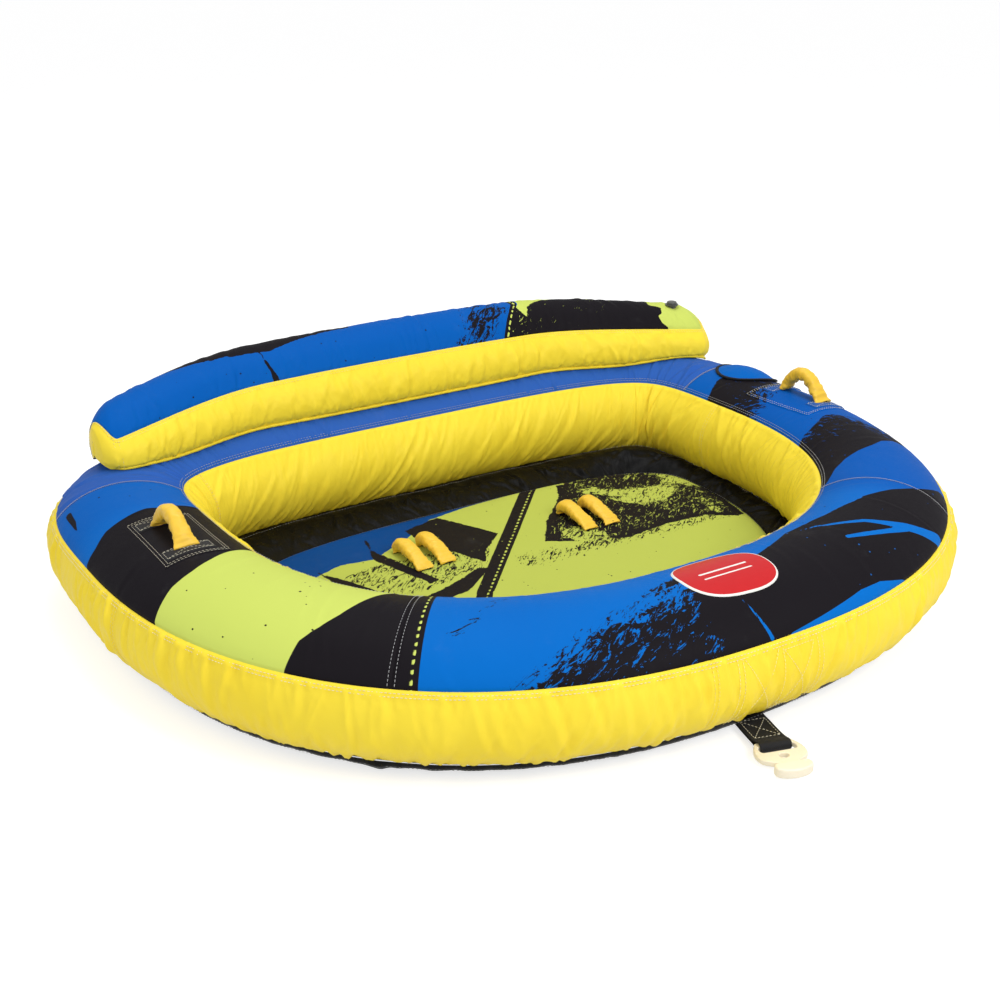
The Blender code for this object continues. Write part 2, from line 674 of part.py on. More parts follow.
def valve(prefix, x, y, z, flange_r, neck_r, neck_len, cap_r, cap_h, sides, flip=False):
    """A flanged, bored body, and a cap that screws into it, with its origin on the screw's axis."""
    bore = neck_r - VALVE_WALL
    body = [(bore, FLANGE_T), (flange_r, FLANGE_T), (flange_r, 0.0), (neck_r, 0.0),
            (neck_r, -neck_len), (bore, -neck_len)]
    add(prefix + "_body", lathe(body, x, y, z, sides, flip), "valve_plastic")
    plug = bore - PLUG_GAP
    cap = [(0.0, CAP_SEAT + cap_h), (cap_r * 0.86, CAP_SEAT + cap_h),
           (cap_r, CAP_SEAT + cap_h * 0.6), (cap_r, CAP_SEAT), (plug, CAP_SEAT),
           (plug, -PLUG_DEPTH), (0.0, -PLUG_DEPTH)]
    seat_z = z + (-CAP_SEAT if flip else CAP_SEAT)
    add(prefix + "_cap", lathe(cap, x, y, z, sides, flip), "valve_plastic", origin=(x, y, seat_z))


def backrest_top_z(x, y, radius):
    """The bolster's highest point under a disc, from rays cast downwards."""
    tree = BVHTree.FromPolygons(*back_body(0.0))
    down = Vector((0, 0, -1))
    return max(tree.ray_cast(Vector((x + radius * share * math.cos(angle),
                                     y + radius * share * math.sin(angle), 2.0)), down)[0].z
               for share in (0.0, 0.5, 1.0)
               for angle in np.linspace(0, 2 * math.pi, 24, endpoint=False))


def build_valves(back_bladder, back_top):
    valve("ring_valve", VALVE_X, VALVE_Y, TUBE_HALF_H * 2 - COVER_T + VALVE_LIFT,
          flange_r=0.0240, neck_r=0.0150, neck_len=0.018, cap_r=0.0190, cap_h=0.0055, sides=16)

    seat = backrest_top_z(BACK_VALVE_X, BACK_VALVE_Y, radius=0.017)
    for piece, name, radius in ((back_bladder, "cut_backrest_port", 0.0118),
                                (back_top, "cut_backrest_well", 0.0190)):
        hole = cylinder(BACK_VALVE_X, BACK_VALVE_Y, low=seat - 0.05, high=seat + 0.02,
                        radius=radius, sides=16)
        cut(piece, cutter(name, hole))
    valve("backrest_valve", BACK_VALVE_X, BACK_VALVE_Y, seat + VALVE_LIFT,
          flange_r=0.0165, neck_r=0.0110, neck_len=0.016, cap_r=0.0125, cap_h=0.0060, sides=14)

    valve("floor_valve", FLOOR_VALVE_X, FLOOR_VALVE_Y,
          FLOOR_MID_Z - FLOOR_HALF_T + FLOOR_VALVE_INSET,
          flange_r=0.0200, neck_r=0.0120, neck_len=0.008, cap_r=0.0160, cap_h=0.0030, sides=14,
          flip=True)


# ---------------------------------------------------------------- pieces that lie on the ring's top
DISC_SIDES = 20
FLAP_X, FLAP_Y, FLAP_R = 0.757, 0.086, 0.072
FLAP_MARGIN = 0.0055       # binding's outer edge to the flap's
FLAP_HINGE = (FLAP_X, FLAP_Y + FLAP_R, ring_top_z(FLAP_X - 0.02, FLAP_Y + FLAP_R) + 0.0020)


def skin_disc(centre_x, centre_y, radius_x, radius_y, lift, thick, shares=(1 / 3, 2 / 3, 1.0),
              bump=0.0, squareness=2.0, yaw=0.0, hollow=False):
    """A thin patch that follows the ring's smooth top.

    shares are the radii of its rings of points, from the middle out. bump raises the middle,
    squareness is the outline's superellipse exponent, and hollow leaves the middle open.
    """
    points, loops = [], []
    for raised in (thick, 0.0):
        for share in shares:
            loops.append(list(range(len(points), len(points) + DISC_SIDES)))
            for i in range(DISC_SIDES):
                angle = 2 * math.pi * i / DISC_SIDES
                across = radius_x * share * signed_power(math.cos(angle), 2 / squareness)
                along = radius_y * share * signed_power(math.sin(angle), 2 / squareness)
                x = centre_x + across * math.cos(yaw) - along * math.sin(yaw)
                y = centre_y + across * math.sin(yaw) + along * math.cos(yaw)
                z = ring_top_z(x, y) + lift + bump * (1 - share ** 2) + raised
                points.append((x, y, z))
    count = len(shares)
    upper, lower = loops[:count], loops[count:]
    faces = []
    for skin in (upper, lower):
        for first, second in zip(skin, skin[1:]):
            faces += wall(first, second)
    faces += wall(upper[-1], lower[-1])
    if hollow:
        faces += rim(upper[0], lower[0])
    else:
        for loop, raised in ((upper[0], thick), (lower[0], 0.0)):
            middle = len(points)
            z = ring_top_z(centre_x, centre_y) + lift + bump + raised
            points.append((centre_x, centre_y, z))
            faces += [(loop[i], loop[(i + 1) % DISC_SIDES], middle) for i in range(DISC_SIDES)]
    return points, faces


def ring_sheet(x_range, y_range, lift, thick, steps):
    """A thin rectangle that follows the ring's top; steps are its divisions along X and Y."""
    plan = [[(x, y) for y in even_steps(*y_range, steps[1])]
            for x in even_steps(*x_range, steps[0])]
    upper = [[(x, y, ring_top_z(x, y) + lift + thick) for x, y in row] for row in plan]
    lower = [[(x, y, ring_top_z(x, y) + lift) for x, y in row] for row in plan]
    return shell(upper, lower)


def build_valve_flap():
    flap_r = FLAP_R - FLAP_MARGIN
    flap = skin_disc(FLAP_X, FLAP_Y, flap_r, flap_r, lift=0.0018, thick=0.0016, bump=0.0125)
    add("valve_flap", flap, "print_blue", origin=FLAP_HINGE)
    binding = skin_disc(FLAP_X, FLAP_Y, FLAP_R, FLAP_R, lift=0.0014, thick=0.0030,
                        shares=(0.928, 1.0), hollow=True)
    add("valve_flap_binding", binding, "black_cloth", origin=FLAP_HINGE)


def build_badge():
    disc = skin_disc(-0.021, -0.711, radius_x=0.090, radius_y=0.065, lift=0.0016, thick=0.0014,
                     squareness=2.6, yaw=math.radians(-4))
    add("front_badge", disc, "badge")


# ---------------------------------------------------------------- grab handles
HANDLE_LEN = 0.100         # foot to foot
GRIP_R = 0.0140
DECK_GRIP_R = 0.0130
GRIP_END_R = 0.0088
GRIP_SHOULDER = 0.94       # radius next to the grip's ends, as a share of the full one
GRIP_BORE = 0.0078
HANDLE_WEB_R = 0.0086      # webbing section, corner to middle before it is flattened
HANDLE_WEB_FLAT = 0.25
HINGE_RISE = 0.0066        # a handle swings about a line this far above what it is sewn to
PATCH_X = 0.718
PATCH_HALF_X, PATCH_HALF_Y = 0.060, 0.100
ANCHOR_HALF_X = 0.044
ANCHOR_WIDTH = 0.034
ANCHOR_DY = 0.067          # anchor strap's middle from the handle's
ANCHOR_LIFT = 0.0037
ANCHOR_T = 0.0020
# side, sign of X, x, middle y, patch paint
RING_HANDLES = (("left", -1, -0.724, -0.080, "black_cloth"),
                ("right", 1, 0.742, -0.116, "print_blue"))
# name, x, middle y
DECK_HANDLES = (("deck_handle_1", -0.218, -0.015), ("deck_handle_2", -0.163, -0.013),
                ("deck_handle_3", 0.176, -0.034), ("deck_handle_4", 0.232, -0.036))
# distance from the rear foot towards the front, height over the hinge line
RING_ARCH = ((0.000, 0.0000), (0.002, 0.0080), (0.014, 0.0230), (0.042, 0.0370),
             (0.072, 0.0365), (0.091, 0.0210), (0.098, 0.0080), (0.100, 0.0000))
DECK_ARCH = ((0.000, 0.0000), (0.002, 0.0070), (0.014, 0.0160), (0.042, 0.0180),
             (0.072, 0.0150), (0.090, 0.0100), (0.098, 0.0060), (0.100, 0.0000))


def handle(prefix, x, mid_y, hinge_z, arch, grip_r):
    """An arch of webbing in a padded grip; both have their origin on the hinge line."""
    rear_y = mid_y + HANDLE_LEN / 2
    path = [(x, rear_y - forward, hinge_z + rise) for forward, rise in arch]
    origin = (x, mid_y, hinge_z)
    # the grip covers all of the arch but its feet
    shoulder = grip_r * GRIP_SHOULDER
    radii = [GRIP_END_R, shoulder] + [grip_r] * (len(path) - 6) + [shoulder, GRIP_END_R]
    grip = tube_along(path[1:-1], radii, sides=7, up=(1, 0, 0), bore=GRIP_BORE)
    add(prefix + "_grip", grip, "grip_yellow", origin=origin)
    web = tube_along(path, [HANDLE_WEB_R] * len(path), sides=4, up=(1, 0, 0),
                     flat=HANDLE_WEB_FLAT, turn=0.5)
    add(prefix + "_webbing", web, "webbing", origin=origin)


def build_handles():
    for side, sign, x, mid_y, patch_paint in RING_HANDLES:
        name = side + "_ring_handle"
        patch_x = sign * PATCH_X
        patch = ring_sheet((patch_x - PATCH_HALF_X, patch_x + PATCH_HALF_X),
                           (mid_y - PATCH_HALF_Y, mid_y + PATCH_HALF_Y),
                           lift=0.0016, thick=0.0010, steps=(6, 4))
        add(name + "_patch", patch, patch_paint)
        for end, y in (("rear", mid_y + ANCHOR_DY), ("front", mid_y - ANCHOR_DY)):
            strap = ring_sheet((x - ANCHOR_HALF_X, x + ANCHOR_HALF_X),
                               (y - ANCHOR_WIDTH / 2, y + ANCHOR_WIDTH / 2),
                               lift=ANCHOR_LIFT, thick=ANCHOR_T, steps=(4, 1))
            add(name + "_anchor_" + end, strap, "webbing")
        crest = max(ring_top_z(x, mid_y + offset) for offset in (-0.06, 0.0, 0.06))
        handle(name, x, mid_y, crest + ANCHOR_LIFT + ANCHOR_T + HINGE_RISE, RING_ARCH, GRIP_R)
    for name, x, mid_y in DECK_HANDLES:
        handle(name, x, mid_y, FLOOR_TOP_Z + HINGE_RISE, DECK_ARCH, DECK_GRIP_R)


# ---------------------------------------------------------------- tow point
TOW_ROOT = Vector((-0.020, -0.783, 0.0080))    # where the tow strap leaves the ring
TOW_YAW = math.radians(17.0)           # the strap points this far to the left of dead ahead
TOW_WIDTH = 0.058
TOW_REACH = 0.104                      # root to the hook's bar
BAR_Z = 0.0108
AHEAD = Vector((-math.sin(TOW_YAW), -math.cos(TOW_YAW), 0.0))
ACROSS = Vector((math.cos(TOW_YAW), -math.sin(TOW_YAW), 0.0))
EYE_OUTER_R, EYE_INNER_R = 0.0101, 0.0076      # the strap's loop round the bar
EYE_NECK_AHEAD = 0.088                 # where the strap meets its loop
EYE_NECK_HALF_T = 0.0026
# (ahead, z) of the strap's upper and lower sides, up to the neck
STRAP_UPPER = [(-0.0020, 0.0062), (-0.0020, 0.0098), (0.0010, 0.0106), (0.050, 0.0118)]
STRAP_LOWER = [(0.050, 0.0068), (0.0010, 0.0054)]
HOOK_HALF_T = 0.0045
# (across, ahead of the bar) of the right half of each symmetrical outline
HOOK_PLATE = [(0.0320, -0.0050), (0.0385, 0.0040), (0.0425, 0.0160), (0.0430, 0.0280),
              (0.0385, 0.0390), (0.0280, 0.0470), (0.0180, 0.0520), (0.0120, 0.0570),
              (0.0120, 0.0640)]
HOOK_NOSE = [(0.0220, 0.0600), (0.0290, 0.0640), (0.0310, 0.0720), (0.0270, 0.0790),
             (0.0150, 0.0830)]
HOOK_SLOT = [(-0.0310, 0.0050), (-0.0310, 0.0200), (0.0310, 0.0200), (0.0310, 0.0050)]
HOOK_HOLE_AHEAD, HOOK_HOLE_R = 0.0350, 0.0068
HOOK_CUT_HALF_T = 0.02
ANCHOR_WEB_RADII = (0.0360, 0.0450, 0.0530, 0.0600)    # outboard of the ring's centreline
ANCHOR_WEB_GAP = 0.0007
ANCHOR_WEB_T = 0.0022


def tow_point(across, ahead, z):
    """A world point from distances across and ahead of the strap's root, and a height."""
    root = Vector((TOW_ROOT.x, TOW_ROOT.y, 0.0))
    return tuple(root + ACROSS * across + AHEAD * ahead + Vector((0, 0, z)))


def hook_point(across, ahead, z):
    """The same, measured from the middle of the hook's bar."""
    return tow_point(across, TOW_REACH + ahead, BAR_Z + z)


def tow_prism(profile, half_width):
    """Sweeps a closed profile of (ahead, z) points across the strap."""
    return loft([tow_point(-half_width, ahead, z) for ahead, z in profile],
                [tow_point(half_width, ahead, z) for ahead, z in profile])


def hook_slab(outline, low, high):
    return loft([hook_point(*p, low) for p in outline], [hook_point(*p, high) for p in outline])


def mirrored(half):
    return half + [(-across, ahead) for across, ahead in reversed(half)]


def build_tow_strap():
    loop = [(TOW_REACH + EYE_OUTER_R * math.cos(angle), BAR_Z + EYE_OUTER_R * math.sin(angle))
            for angle in np.linspace(math.radians(150), math.radians(-150), 11)]
    profile = (STRAP_UPPER + [(EYE_NECK_AHEAD, BAR_Z + EYE_NECK_HALF_T)] + loop
               + [(EYE_NECK_AHEAD, BAR_Z - EYE_NECK_HALF_T)] + STRAP_LOWER)
    strap = add("tow_strap", tow_prism(profile, TOW_WIDTH / 2), "webbing", origin=TOW_ROOT)
    eye = circle(EYE_INNER_R, 14, TOW_REACH, BAR_Z)
    cut(strap, cutter("cut_strap_eye", tow_prism(eye, TOW_WIDTH)))


def build_tow_hook():
    hook = add("tow_hook", hook_slab(mirrored(HOOK_PLATE), -HOOK_HALF_T, HOOK_HALF_T),
               "hook_plastic", origin=hook_point(0, 0, 0))
    nose = cutter("join_hook_nose", hook_slab(mirrored(HOOK_NOSE), low=-0.0070, high=0.0095))
    cut(hook, nose, "UNION")
    hole = circle(HOOK_HOLE_R, 12, 0.0, HOOK_HOLE_AHEAD)
    for name, outline in (("cut_hook_slot", HOOK_SLOT), ("cut_hook_hole", hole)):
        cut(hook, cutter(name, hook_slab(outline, -HOOK_CUT_HALF_T, HOOK_CUT_HALF_T)))


def build_tow_anchor():
    """Webbing sewn under the ring's bow, which the strap continues."""
    upper, lower = [], []
    for radius in ANCHOR_WEB_RADII:
        skin_z = TUBE_HALF_H * (1 - math.sqrt(1 - (radius / TUBE_HALF_W) ** 2))
        top_z = skin_z - ANCHOR_WEB_GAP
        row = []
        for across in (-TOW_WIDTH / 2, TOW_WIDTH / 2):
            station = RING.nearest(TOW_ROOT.x + ACROSS.x * across, -RING_FRONT_Y)
            centre, outward = RING.at(station)
            row.append(centre + outward * radius)
        upper.append([(x, y, top_z) for x, y in row])
        lower.append([(x, y, top_z - ANCHOR_WEB_T) for x, y in row])
    add("tow_anchor_webbing", shell(upper, lower), "webbing")


# ---------------------------------------------------------------- zip under the ring, behind the floor
ZIP_HALF_X = 0.225
ZIP_TAPE_HALF_W, ZIP_TAPE_T = 0.0130, 0.0014
ZIP_DROP = 0.0030          # tape's upper face below the chord of the cover's facet
SLIDER_X = -0.200
SLIDER_HALF_X, SLIDER_HALF_W = 0.008, 0.0050
SLIDER_ORIGIN_DEPTH = 0.003


def build_zip():
    stern = RING.nearest(0.0, RING_BACK_Y)
    inner_edge = Vector(ring_point(stern, PHI_UNDER[0]))
    outer_edge = Vector(ring_point(stern, PHI_UNDER[1]))
    across_tape = (outer_edge - inner_edge).normalized()
    down = across_tape.cross(Vector((1, 0, 0)))
    tape_mid = (inner_edge + outer_edge) / 2 + down * ZIP_DROP
    tape_mid.x = 0.0

    def zip_box(x_range, half_w, high, low):
        """A box along X; high and low are depths below the tape's upper face."""
        points = [tuple(tape_mid + Vector((x, 0, 0)) + across_tape * width + down * depth)
                  for x in x_range
                  for width, depth in ((-half_w, high), (half_w, high),
                                       (half_w, low), (-half_w, low))]
        return loft(points[:4], points[4:])

    add("zip_tape", zip_box((-ZIP_HALF_X, ZIP_HALF_X), ZIP_TAPE_HALF_W, 0.0, ZIP_TAPE_T),
        "black_cloth", smooth=False)
    origin = tape_mid + Vector((SLIDER_X, 0, 0)) + down * SLIDER_ORIGIN_DEPTH
    slider = zip_box((SLIDER_X - SLIDER_HALF_X, SLIDER_X + SLIDER_HALF_X), SLIDER_HALF_W,
                     high=0.0020, low=0.0060)
    add("zip_slider", slider, "zip_metal", origin=origin, smooth=False)


# ---------------------------------------------------------------- assembly
def main():
    for old in list(bpy.data.objects):
        bpy.data.objects.remove(old, do_unlink=True)
    build_ring()
    build_floor()
    build_skirt()
    back_bladder, back_top = build_backrest()
    build_piping()
    build_valves(back_bladder, back_top)
    build_valve_flap()
    build_badge()
    build_handles()
    build_tow_strap()
    build_tow_hook()
    build_tow_anchor()
    build_zip()
    for obj in bpy.data.objects:
        obj.location = obj.location + Vector(FRAME_SHIFT)


main()
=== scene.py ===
"""Looks of a towable tube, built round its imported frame: sewn cloth covers, printed panels,
webbing and plastic.

Pieces are laid out in metres about the ring's centre: +X right, -Y the bow (front), +Y the
stern with its backrest, +Z up from the ground. settle() moves each one to the frame's origin.
Places on the ring are a walk distance s, from +X towards the stern, and an angle phi round
its section: 0 faces outwards, 90 degrees up, 180 degrees inwards.
"""
import math

import bmesh
import bpy
import numpy as np
from mathutils import Matrix, Vector


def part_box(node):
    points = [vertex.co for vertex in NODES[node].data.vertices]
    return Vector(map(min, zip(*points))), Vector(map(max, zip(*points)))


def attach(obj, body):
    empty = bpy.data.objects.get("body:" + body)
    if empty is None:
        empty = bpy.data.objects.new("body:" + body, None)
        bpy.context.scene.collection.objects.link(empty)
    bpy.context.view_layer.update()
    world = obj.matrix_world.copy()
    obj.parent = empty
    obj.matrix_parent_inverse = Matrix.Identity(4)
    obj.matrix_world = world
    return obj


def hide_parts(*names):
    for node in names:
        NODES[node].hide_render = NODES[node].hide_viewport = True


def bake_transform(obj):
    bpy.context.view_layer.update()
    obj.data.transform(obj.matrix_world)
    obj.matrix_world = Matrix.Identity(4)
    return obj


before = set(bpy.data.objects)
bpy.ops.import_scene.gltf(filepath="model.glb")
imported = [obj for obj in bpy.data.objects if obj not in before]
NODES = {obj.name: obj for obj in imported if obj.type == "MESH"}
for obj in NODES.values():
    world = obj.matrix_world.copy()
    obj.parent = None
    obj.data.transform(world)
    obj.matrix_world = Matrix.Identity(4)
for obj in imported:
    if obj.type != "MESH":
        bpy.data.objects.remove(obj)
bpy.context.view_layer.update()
scene = bpy.context.scene

TURN = 2 * math.pi
UP = np.array([0.0, 0.0, 1.0])
SHIFT = Vector((0.0, 0.19665, -0.00045))     # from the ring's centre to the frame's origin

# ---------------------------------------------------------------- driving sizes
# Plans are two half superellipses: half sizes, and the exponent of each half.
RING_HALF_X, RING_FRONT_Y, RING_BACK_Y = 0.721, 0.710, 0.4205
RING_FRONT_POWER, RING_BACK_POWER = 2.364, 3.919
DECK_HALF_X, DECK_FRONT_Y, DECK_BACK_Y = 0.548, 0.530, 0.183
DECK_FRONT_POWER, DECK_BACK_POWER = 2.4, 3.0
TUBE_HALF_W, TUBE_HALF_H = 0.154, 0.121      # the ring's elliptic section
# Angles of the seams round the section.
PHI_OUT, PHI_IN, PHI_SKIRT, PHI_LOW = (math.radians(v) for v in (28.3, 134.6, 222.0, 308.0))
PHI_BAND_FOOT = PHI_LOW - TURN               # the low seam, reached from the outer side

DECK_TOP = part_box("floor_top_sheet")[1].z - SHIFT.z
FLOOR_MID = (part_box("floor_bladder")[0].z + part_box("floor_bladder")[1].z) / 2 - SHIFT.z
FLOOR_HALF = DECK_TOP - FLOOR_MID
DECK_HANDLES = ((-0.218, -0.015), (-0.163, -0.013), (0.176, -0.034), (0.232, -0.036))


# ---------------------------------------------------------------- small geometry helpers
def unit(vectors):
    size = np.linalg.norm(vectors, axis=-1)
    return vectors / np.maximum(size, 1e-12)[..., None]


def running(steps):
    return np.concatenate([[0.0], np.cumsum(steps)])


def walked(points):
    """Distance walked along a line of points."""
    return running(np.linalg.norm(np.diff(points, axis=0), axis=1))


def interp_rows(at, distances, rows):
    return np.stack([np.interp(at, distances, rows[:, c]) for c in range(rows.shape[1])], 1)


def relax(values, passes):
    """Smooths a line in place, its ends held."""
    for _ in range(passes):
        values[1:-1] = (values[:-2] + 2 * values[1:-1] + values[2:]) / 4
    return values


def smooth_loop(loop, width):
    """A closed line of plan points averaged under a Hann window of odd width."""
    window = np.hanning(width)
    window /= window.sum()
    half = width // 2
    padded = np.concatenate([loop[-half:], loop, loop[:half]])
    return np.stack([np.convolve(padded[:, c], window, "valid") for c in (0, 1)], 1)


def smooth_path(points, count):
    points = np.asarray(points, float)
    distances = walked(points)
    even = np.linspace(0, distances[-1], count)
    return relax(interp_rows(even, distances, points), passes=14)


def polyline(corners, count):
    corners = np.asarray(corners, float)
    return np.concatenate([np.linspace(a, b, count) for a, b in zip(corners[:-1], corners[1:])])


def rectangle(x, y, half_x, half_y):
    """The four corners, and the first again."""
    corners = [(x - half_x, y - half_y), (x + half_x, y - half_y),
               (x + half_x, y + half_y), (x - half_x, y + half_y)]
    return corners + corners[:1]


def with_z(plan, z):
    return np.concatenate([plan, np.broadcast_to(z, plan.shape[:-1])[..., None]], -1)


def uv_grid(first, second):
    return np.stack(np.meshgrid(first, second, indexing="ij"), -1)


# ---------------------------------------------------------------- plans and the ring's skin
def signed_power(value, power):
    return math.copysign(abs(value) ** power, value)


class Plan:
    """Closed curve of two half superellipses, walked by arc length from +X towards +Y."""

    count = 3200

    def __init__(self, half_x, front_y, front_power, back_y, back_power, samples):
        loop = []
        for i in range(samples):
            angle = TURN * i / samples
            sine = math.sin(angle)
            power, half_y = (front_power, front_y) if sine < 0 else (back_power, back_y)
            loop.append((half_x * signed_power(math.cos(angle), 2 / power),
                         half_y * signed_power(sine, 2 / power)))
        loop = np.array(loop + loop[:1])
        distances = walked(loop)
        self.length = float(distances[-1])
        even = np.linspace(0, self.length, self.count, endpoint=False)
        self.points = interp_rows(even, distances, loop)
        tangent = unit(np.roll(self.points, -14, 0) - np.roll(self.points, 14, 0))
        tangent = unit(smooth_loop(tangent, 41))
        self.normals = np.stack([tangent[:, 1], -tangent[:, 0]], 1)

    def at(self, s):
        """Plan points and outward normals at walk distances s."""
        row = (np.asarray(s, float) / self.length % 1.0) * self.count
        i = np.floor(row).astype(int) % self.count
        part = (row - np.floor(row))[..., None]
        j = (i + 1) % self.count
        normal = self.normals[i] * (1 - part) + self.normals[j] * part
        return self.points[i] * (1 - part) + self.points[j] * part, unit(normal)

    def nearest_index(self, point):
        return int(((self.points - point) ** 2).sum(1).argmin())

    def nearest(self, x, y):
        return self.nearest_index((x, y)) * self.length / self.count


RING = Plan(RING_HALF_X, RING_FRONT_Y, RING_FRONT_POWER, RING_BACK_Y, RING_BACK_POWER, 4800)
DECK = Plan(DECK_HALF_X, DECK_FRONT_Y, DECK_FRONT_POWER, DECK_BACK_Y, DECK_BACK_POWER, 3600)
RING_LENGTH = RING.length


def stations(**spots):
    """Walk distances of named (x, y) spots beside the ring's centre line."""
    return {name: RING.nearest(*spot) for name, spot in spots.items()}


TOP_SEAMS = stations(back_left=(-0.720, 0.215), front_left=(-0.520, -0.545),
                     front_right=(0.505, -0.560), back_right=(0.720, 0.150))
BAND_SEAMS = stations(left=(-0.715, -0.130), bow=(-0.140, -0.700), right=(0.715, -0.130))
WALL_SEAMS = stations(rear_left=(-0.600, 0.356), right=(0.721, 0.020))


def ring(s, phi, lift=0.0):
    """Points and outward normals on the ring's skin, raised by lift."""
    s, phi = np.broadcast_arrays(np.asarray(s, float), np.asarray(phi, float))
    centre, out = RING.at(s)
    cos, sin = np.cos(phi), np.sin(phi)
    outward, upward = cos / TUBE_HALF_W, sin / TUBE_HALF_H
    size = np.hypot(outward, upward)
    outward, upward = outward / size, upward / size
    reach = TUBE_HALF_W * cos + lift * outward
    z = TUBE_HALF_H * (1 + sin) + lift * upward
    points = with_z(centre + out * reach[..., None], z)
    return points, with_z(out * outward[..., None], upward)


def ring_top_z(x, y):
    """Height of the ring's upper skin over plan points."""
    x, y = np.broadcast_arrays(np.asarray(x, float), np.asarray(y, float))
    flat = np.stack([x.ravel(), y.ravel()], 1)
    away = np.empty(len(flat))
    for a in range(0, len(flat), 2000):
        part = flat[a:a + 2000]
        gaps = ((part[:, None, :] - RING.points[None, ::2]) ** 2).sum(2)
        away[a:a + 2000] = np.sqrt(gaps.min(1))
    z = TUBE_HALF_H * (1 + np.sqrt(np.clip(1 - (away / TUBE_HALF_W) ** 2, 0, 1)))
    return z.reshape(x.shape)


PHI_TABLE = np.linspace(0, TURN, 2001)
GIRTH_TABLE = running(np.hypot(TUBE_HALF_W * np.diff(np.cos(PHI_TABLE)),
                               TUBE_HALF_H * np.diff(np.sin(PHI_TABLE))))


def arc_len(phi):
    """Distance round the section at angle phi."""
    turns = np.floor(np.asarray(phi) / TURN)
    return np.interp(np.asarray(phi) - turns * TURN, PHI_TABLE, GIRTH_TABLE) \
        + turns * GIRTH_TABLE[-1]


def phi_of(distance):
    turns = np.floor(np.asarray(distance) / GIRTH_TABLE[-1])
    return np.interp(np.asarray(distance) - turns * GIRTH_TABLE[-1], GIRTH_TABLE, PHI_TABLE) \
        + turns * TURN


def span(start, stop, step):
    """Even walk distances from start to stop, past the ring's end where needed."""
    stop = stop if stop > start else stop + RING_LENGTH
    return np.linspace(start, stop, max(3, int(round((stop - start) / step)) + 1))


# ---------------------------------------------------------------- noise and profiles
def hash_cell(column, row, seed):
    mixed = (column.astype(np.int64) * 374761393 + row.astype(np.int64) * 668265263
             + seed * 974634777) & 0xFFFFFFFF
    mixed = ((mixed ^ (mixed >> 13)) * 1274126177) & 0xFFFFFFFF
    return ((mixed ^ (mixed >> 16)) & 0xFFFF) / 65535.0


def vnoise(x, y, seed=0):
    """Smooth value noise, -1 to 1."""
    x, y = np.broadcast_arrays(np.asarray(x, float), np.asarray(y, float))
    column, row = np.floor(x), np.floor(y)
    u, v = x - column, y - row
    u, v = u * u * (3 - 2 * u), v * v * (3 - 2 * v)
    a, b = hash_cell(column, row, seed), hash_cell(column + 1, row, seed)
    c, d = hash_cell(column, row + 1, seed), hash_cell(column + 1, row + 1, seed)
    return ((a * (1 - u) + b * u) * (1 - v) + (c * (1 - u) + d * u) * v) * 2 - 1


def fnoise(x, y, seed=0):
    """Three octaves of value noise."""
    total, weight = 0.0, 1.0
    for i in range(3):
        total = total + weight * vnoise(np.asarray(x) * 2 ** i, np.asarray(y) * 2 ** i,
                                        seed + 17 * i)
        weight *= 0.5
    return total / 1.75


def ease(value):
    value = np.clip(value, 0, 1)
    return value * value * (3 - 2 * value)


def bell(x, width):
    return np.exp(-(x / width) ** 2)


def decay(x, length):
    return np.exp(-x / length)


def between(x, low, high):
    return (x > low) & (x < high)


def creases(along, down, rng, count, height, width, slant, top=0.0, bottom=None,
            anchor="both", top_share=0.5):
    """Folds of gathered cloth: long narrow ridges with a valley beside each, from a seam.
    along and down are distances (rows, columns); height, width and slant are ranges."""
    bottom = float(down.max()) if bottom is None else bottom
    out = np.zeros(along.shape)
    first, last = float(along.min()), float(along.max())
    for _ in range(count):
        start = rng.uniform(first, last)
        half = rng.uniform(*width)
        tall = rng.uniform(*height)
        lean = rng.uniform(*slant)
        reach = rng.uniform(0.30, 1.0) * (bottom - top)
        from_top = (rng.random() < top_share) if anchor == "both" else anchor == "top"
        near, far = (top, top + reach) if from_top else (bottom - reach, bottom)
        bow = rng.uniform(-0.25, 0.25)
        margin = abs(lean) * reach + abs(bow) * 0.02 + 6 * half
        i, j = np.searchsorted(along[:, 0], (start - margin, start + margin))
        if j - i < 2:
            continue
        level = down[i:j]
        share = (level - near) / max(far - near, 1e-6)
        run = share if from_top else 1 - share
        fade = ease((1 - run) / 0.45) * (share > -0.02) * (share < 1.02)
        spread = half * (0.55 + 0.9 * np.clip(run, 0, 1))
        path = start + lean * (level - (near if from_top else far)) \
            + bow * 0.03 * np.sin(np.pi * np.clip(share, 0, 1))
        x = (along[i:j] - path) / spread
        out[i:j] += tall * fade * (np.exp(-x * x) - 0.75 * np.exp(-((x - 1.55) ** 2))
                                   + 0.15 * np.exp(-((x + 1.7) ** 2)))
    return out


# ---------------------------------------------------------------- meshes
def link(name, mesh):
    obj = bpy.data.objects.new(name, mesh)
    scene.collection.objects.link(obj)
    return obj


def mesh_object(name, verts, faces):
    mesh = bpy.data.meshes.new(name)
    mesh.from_pydata([tuple(v) for v in verts], [], [tuple(f) for f in faces])
    mesh.update()
    mesh.polygons.foreach_set("use_smooth", [True] * len(mesh.polygons))
    return link(name, mesh)


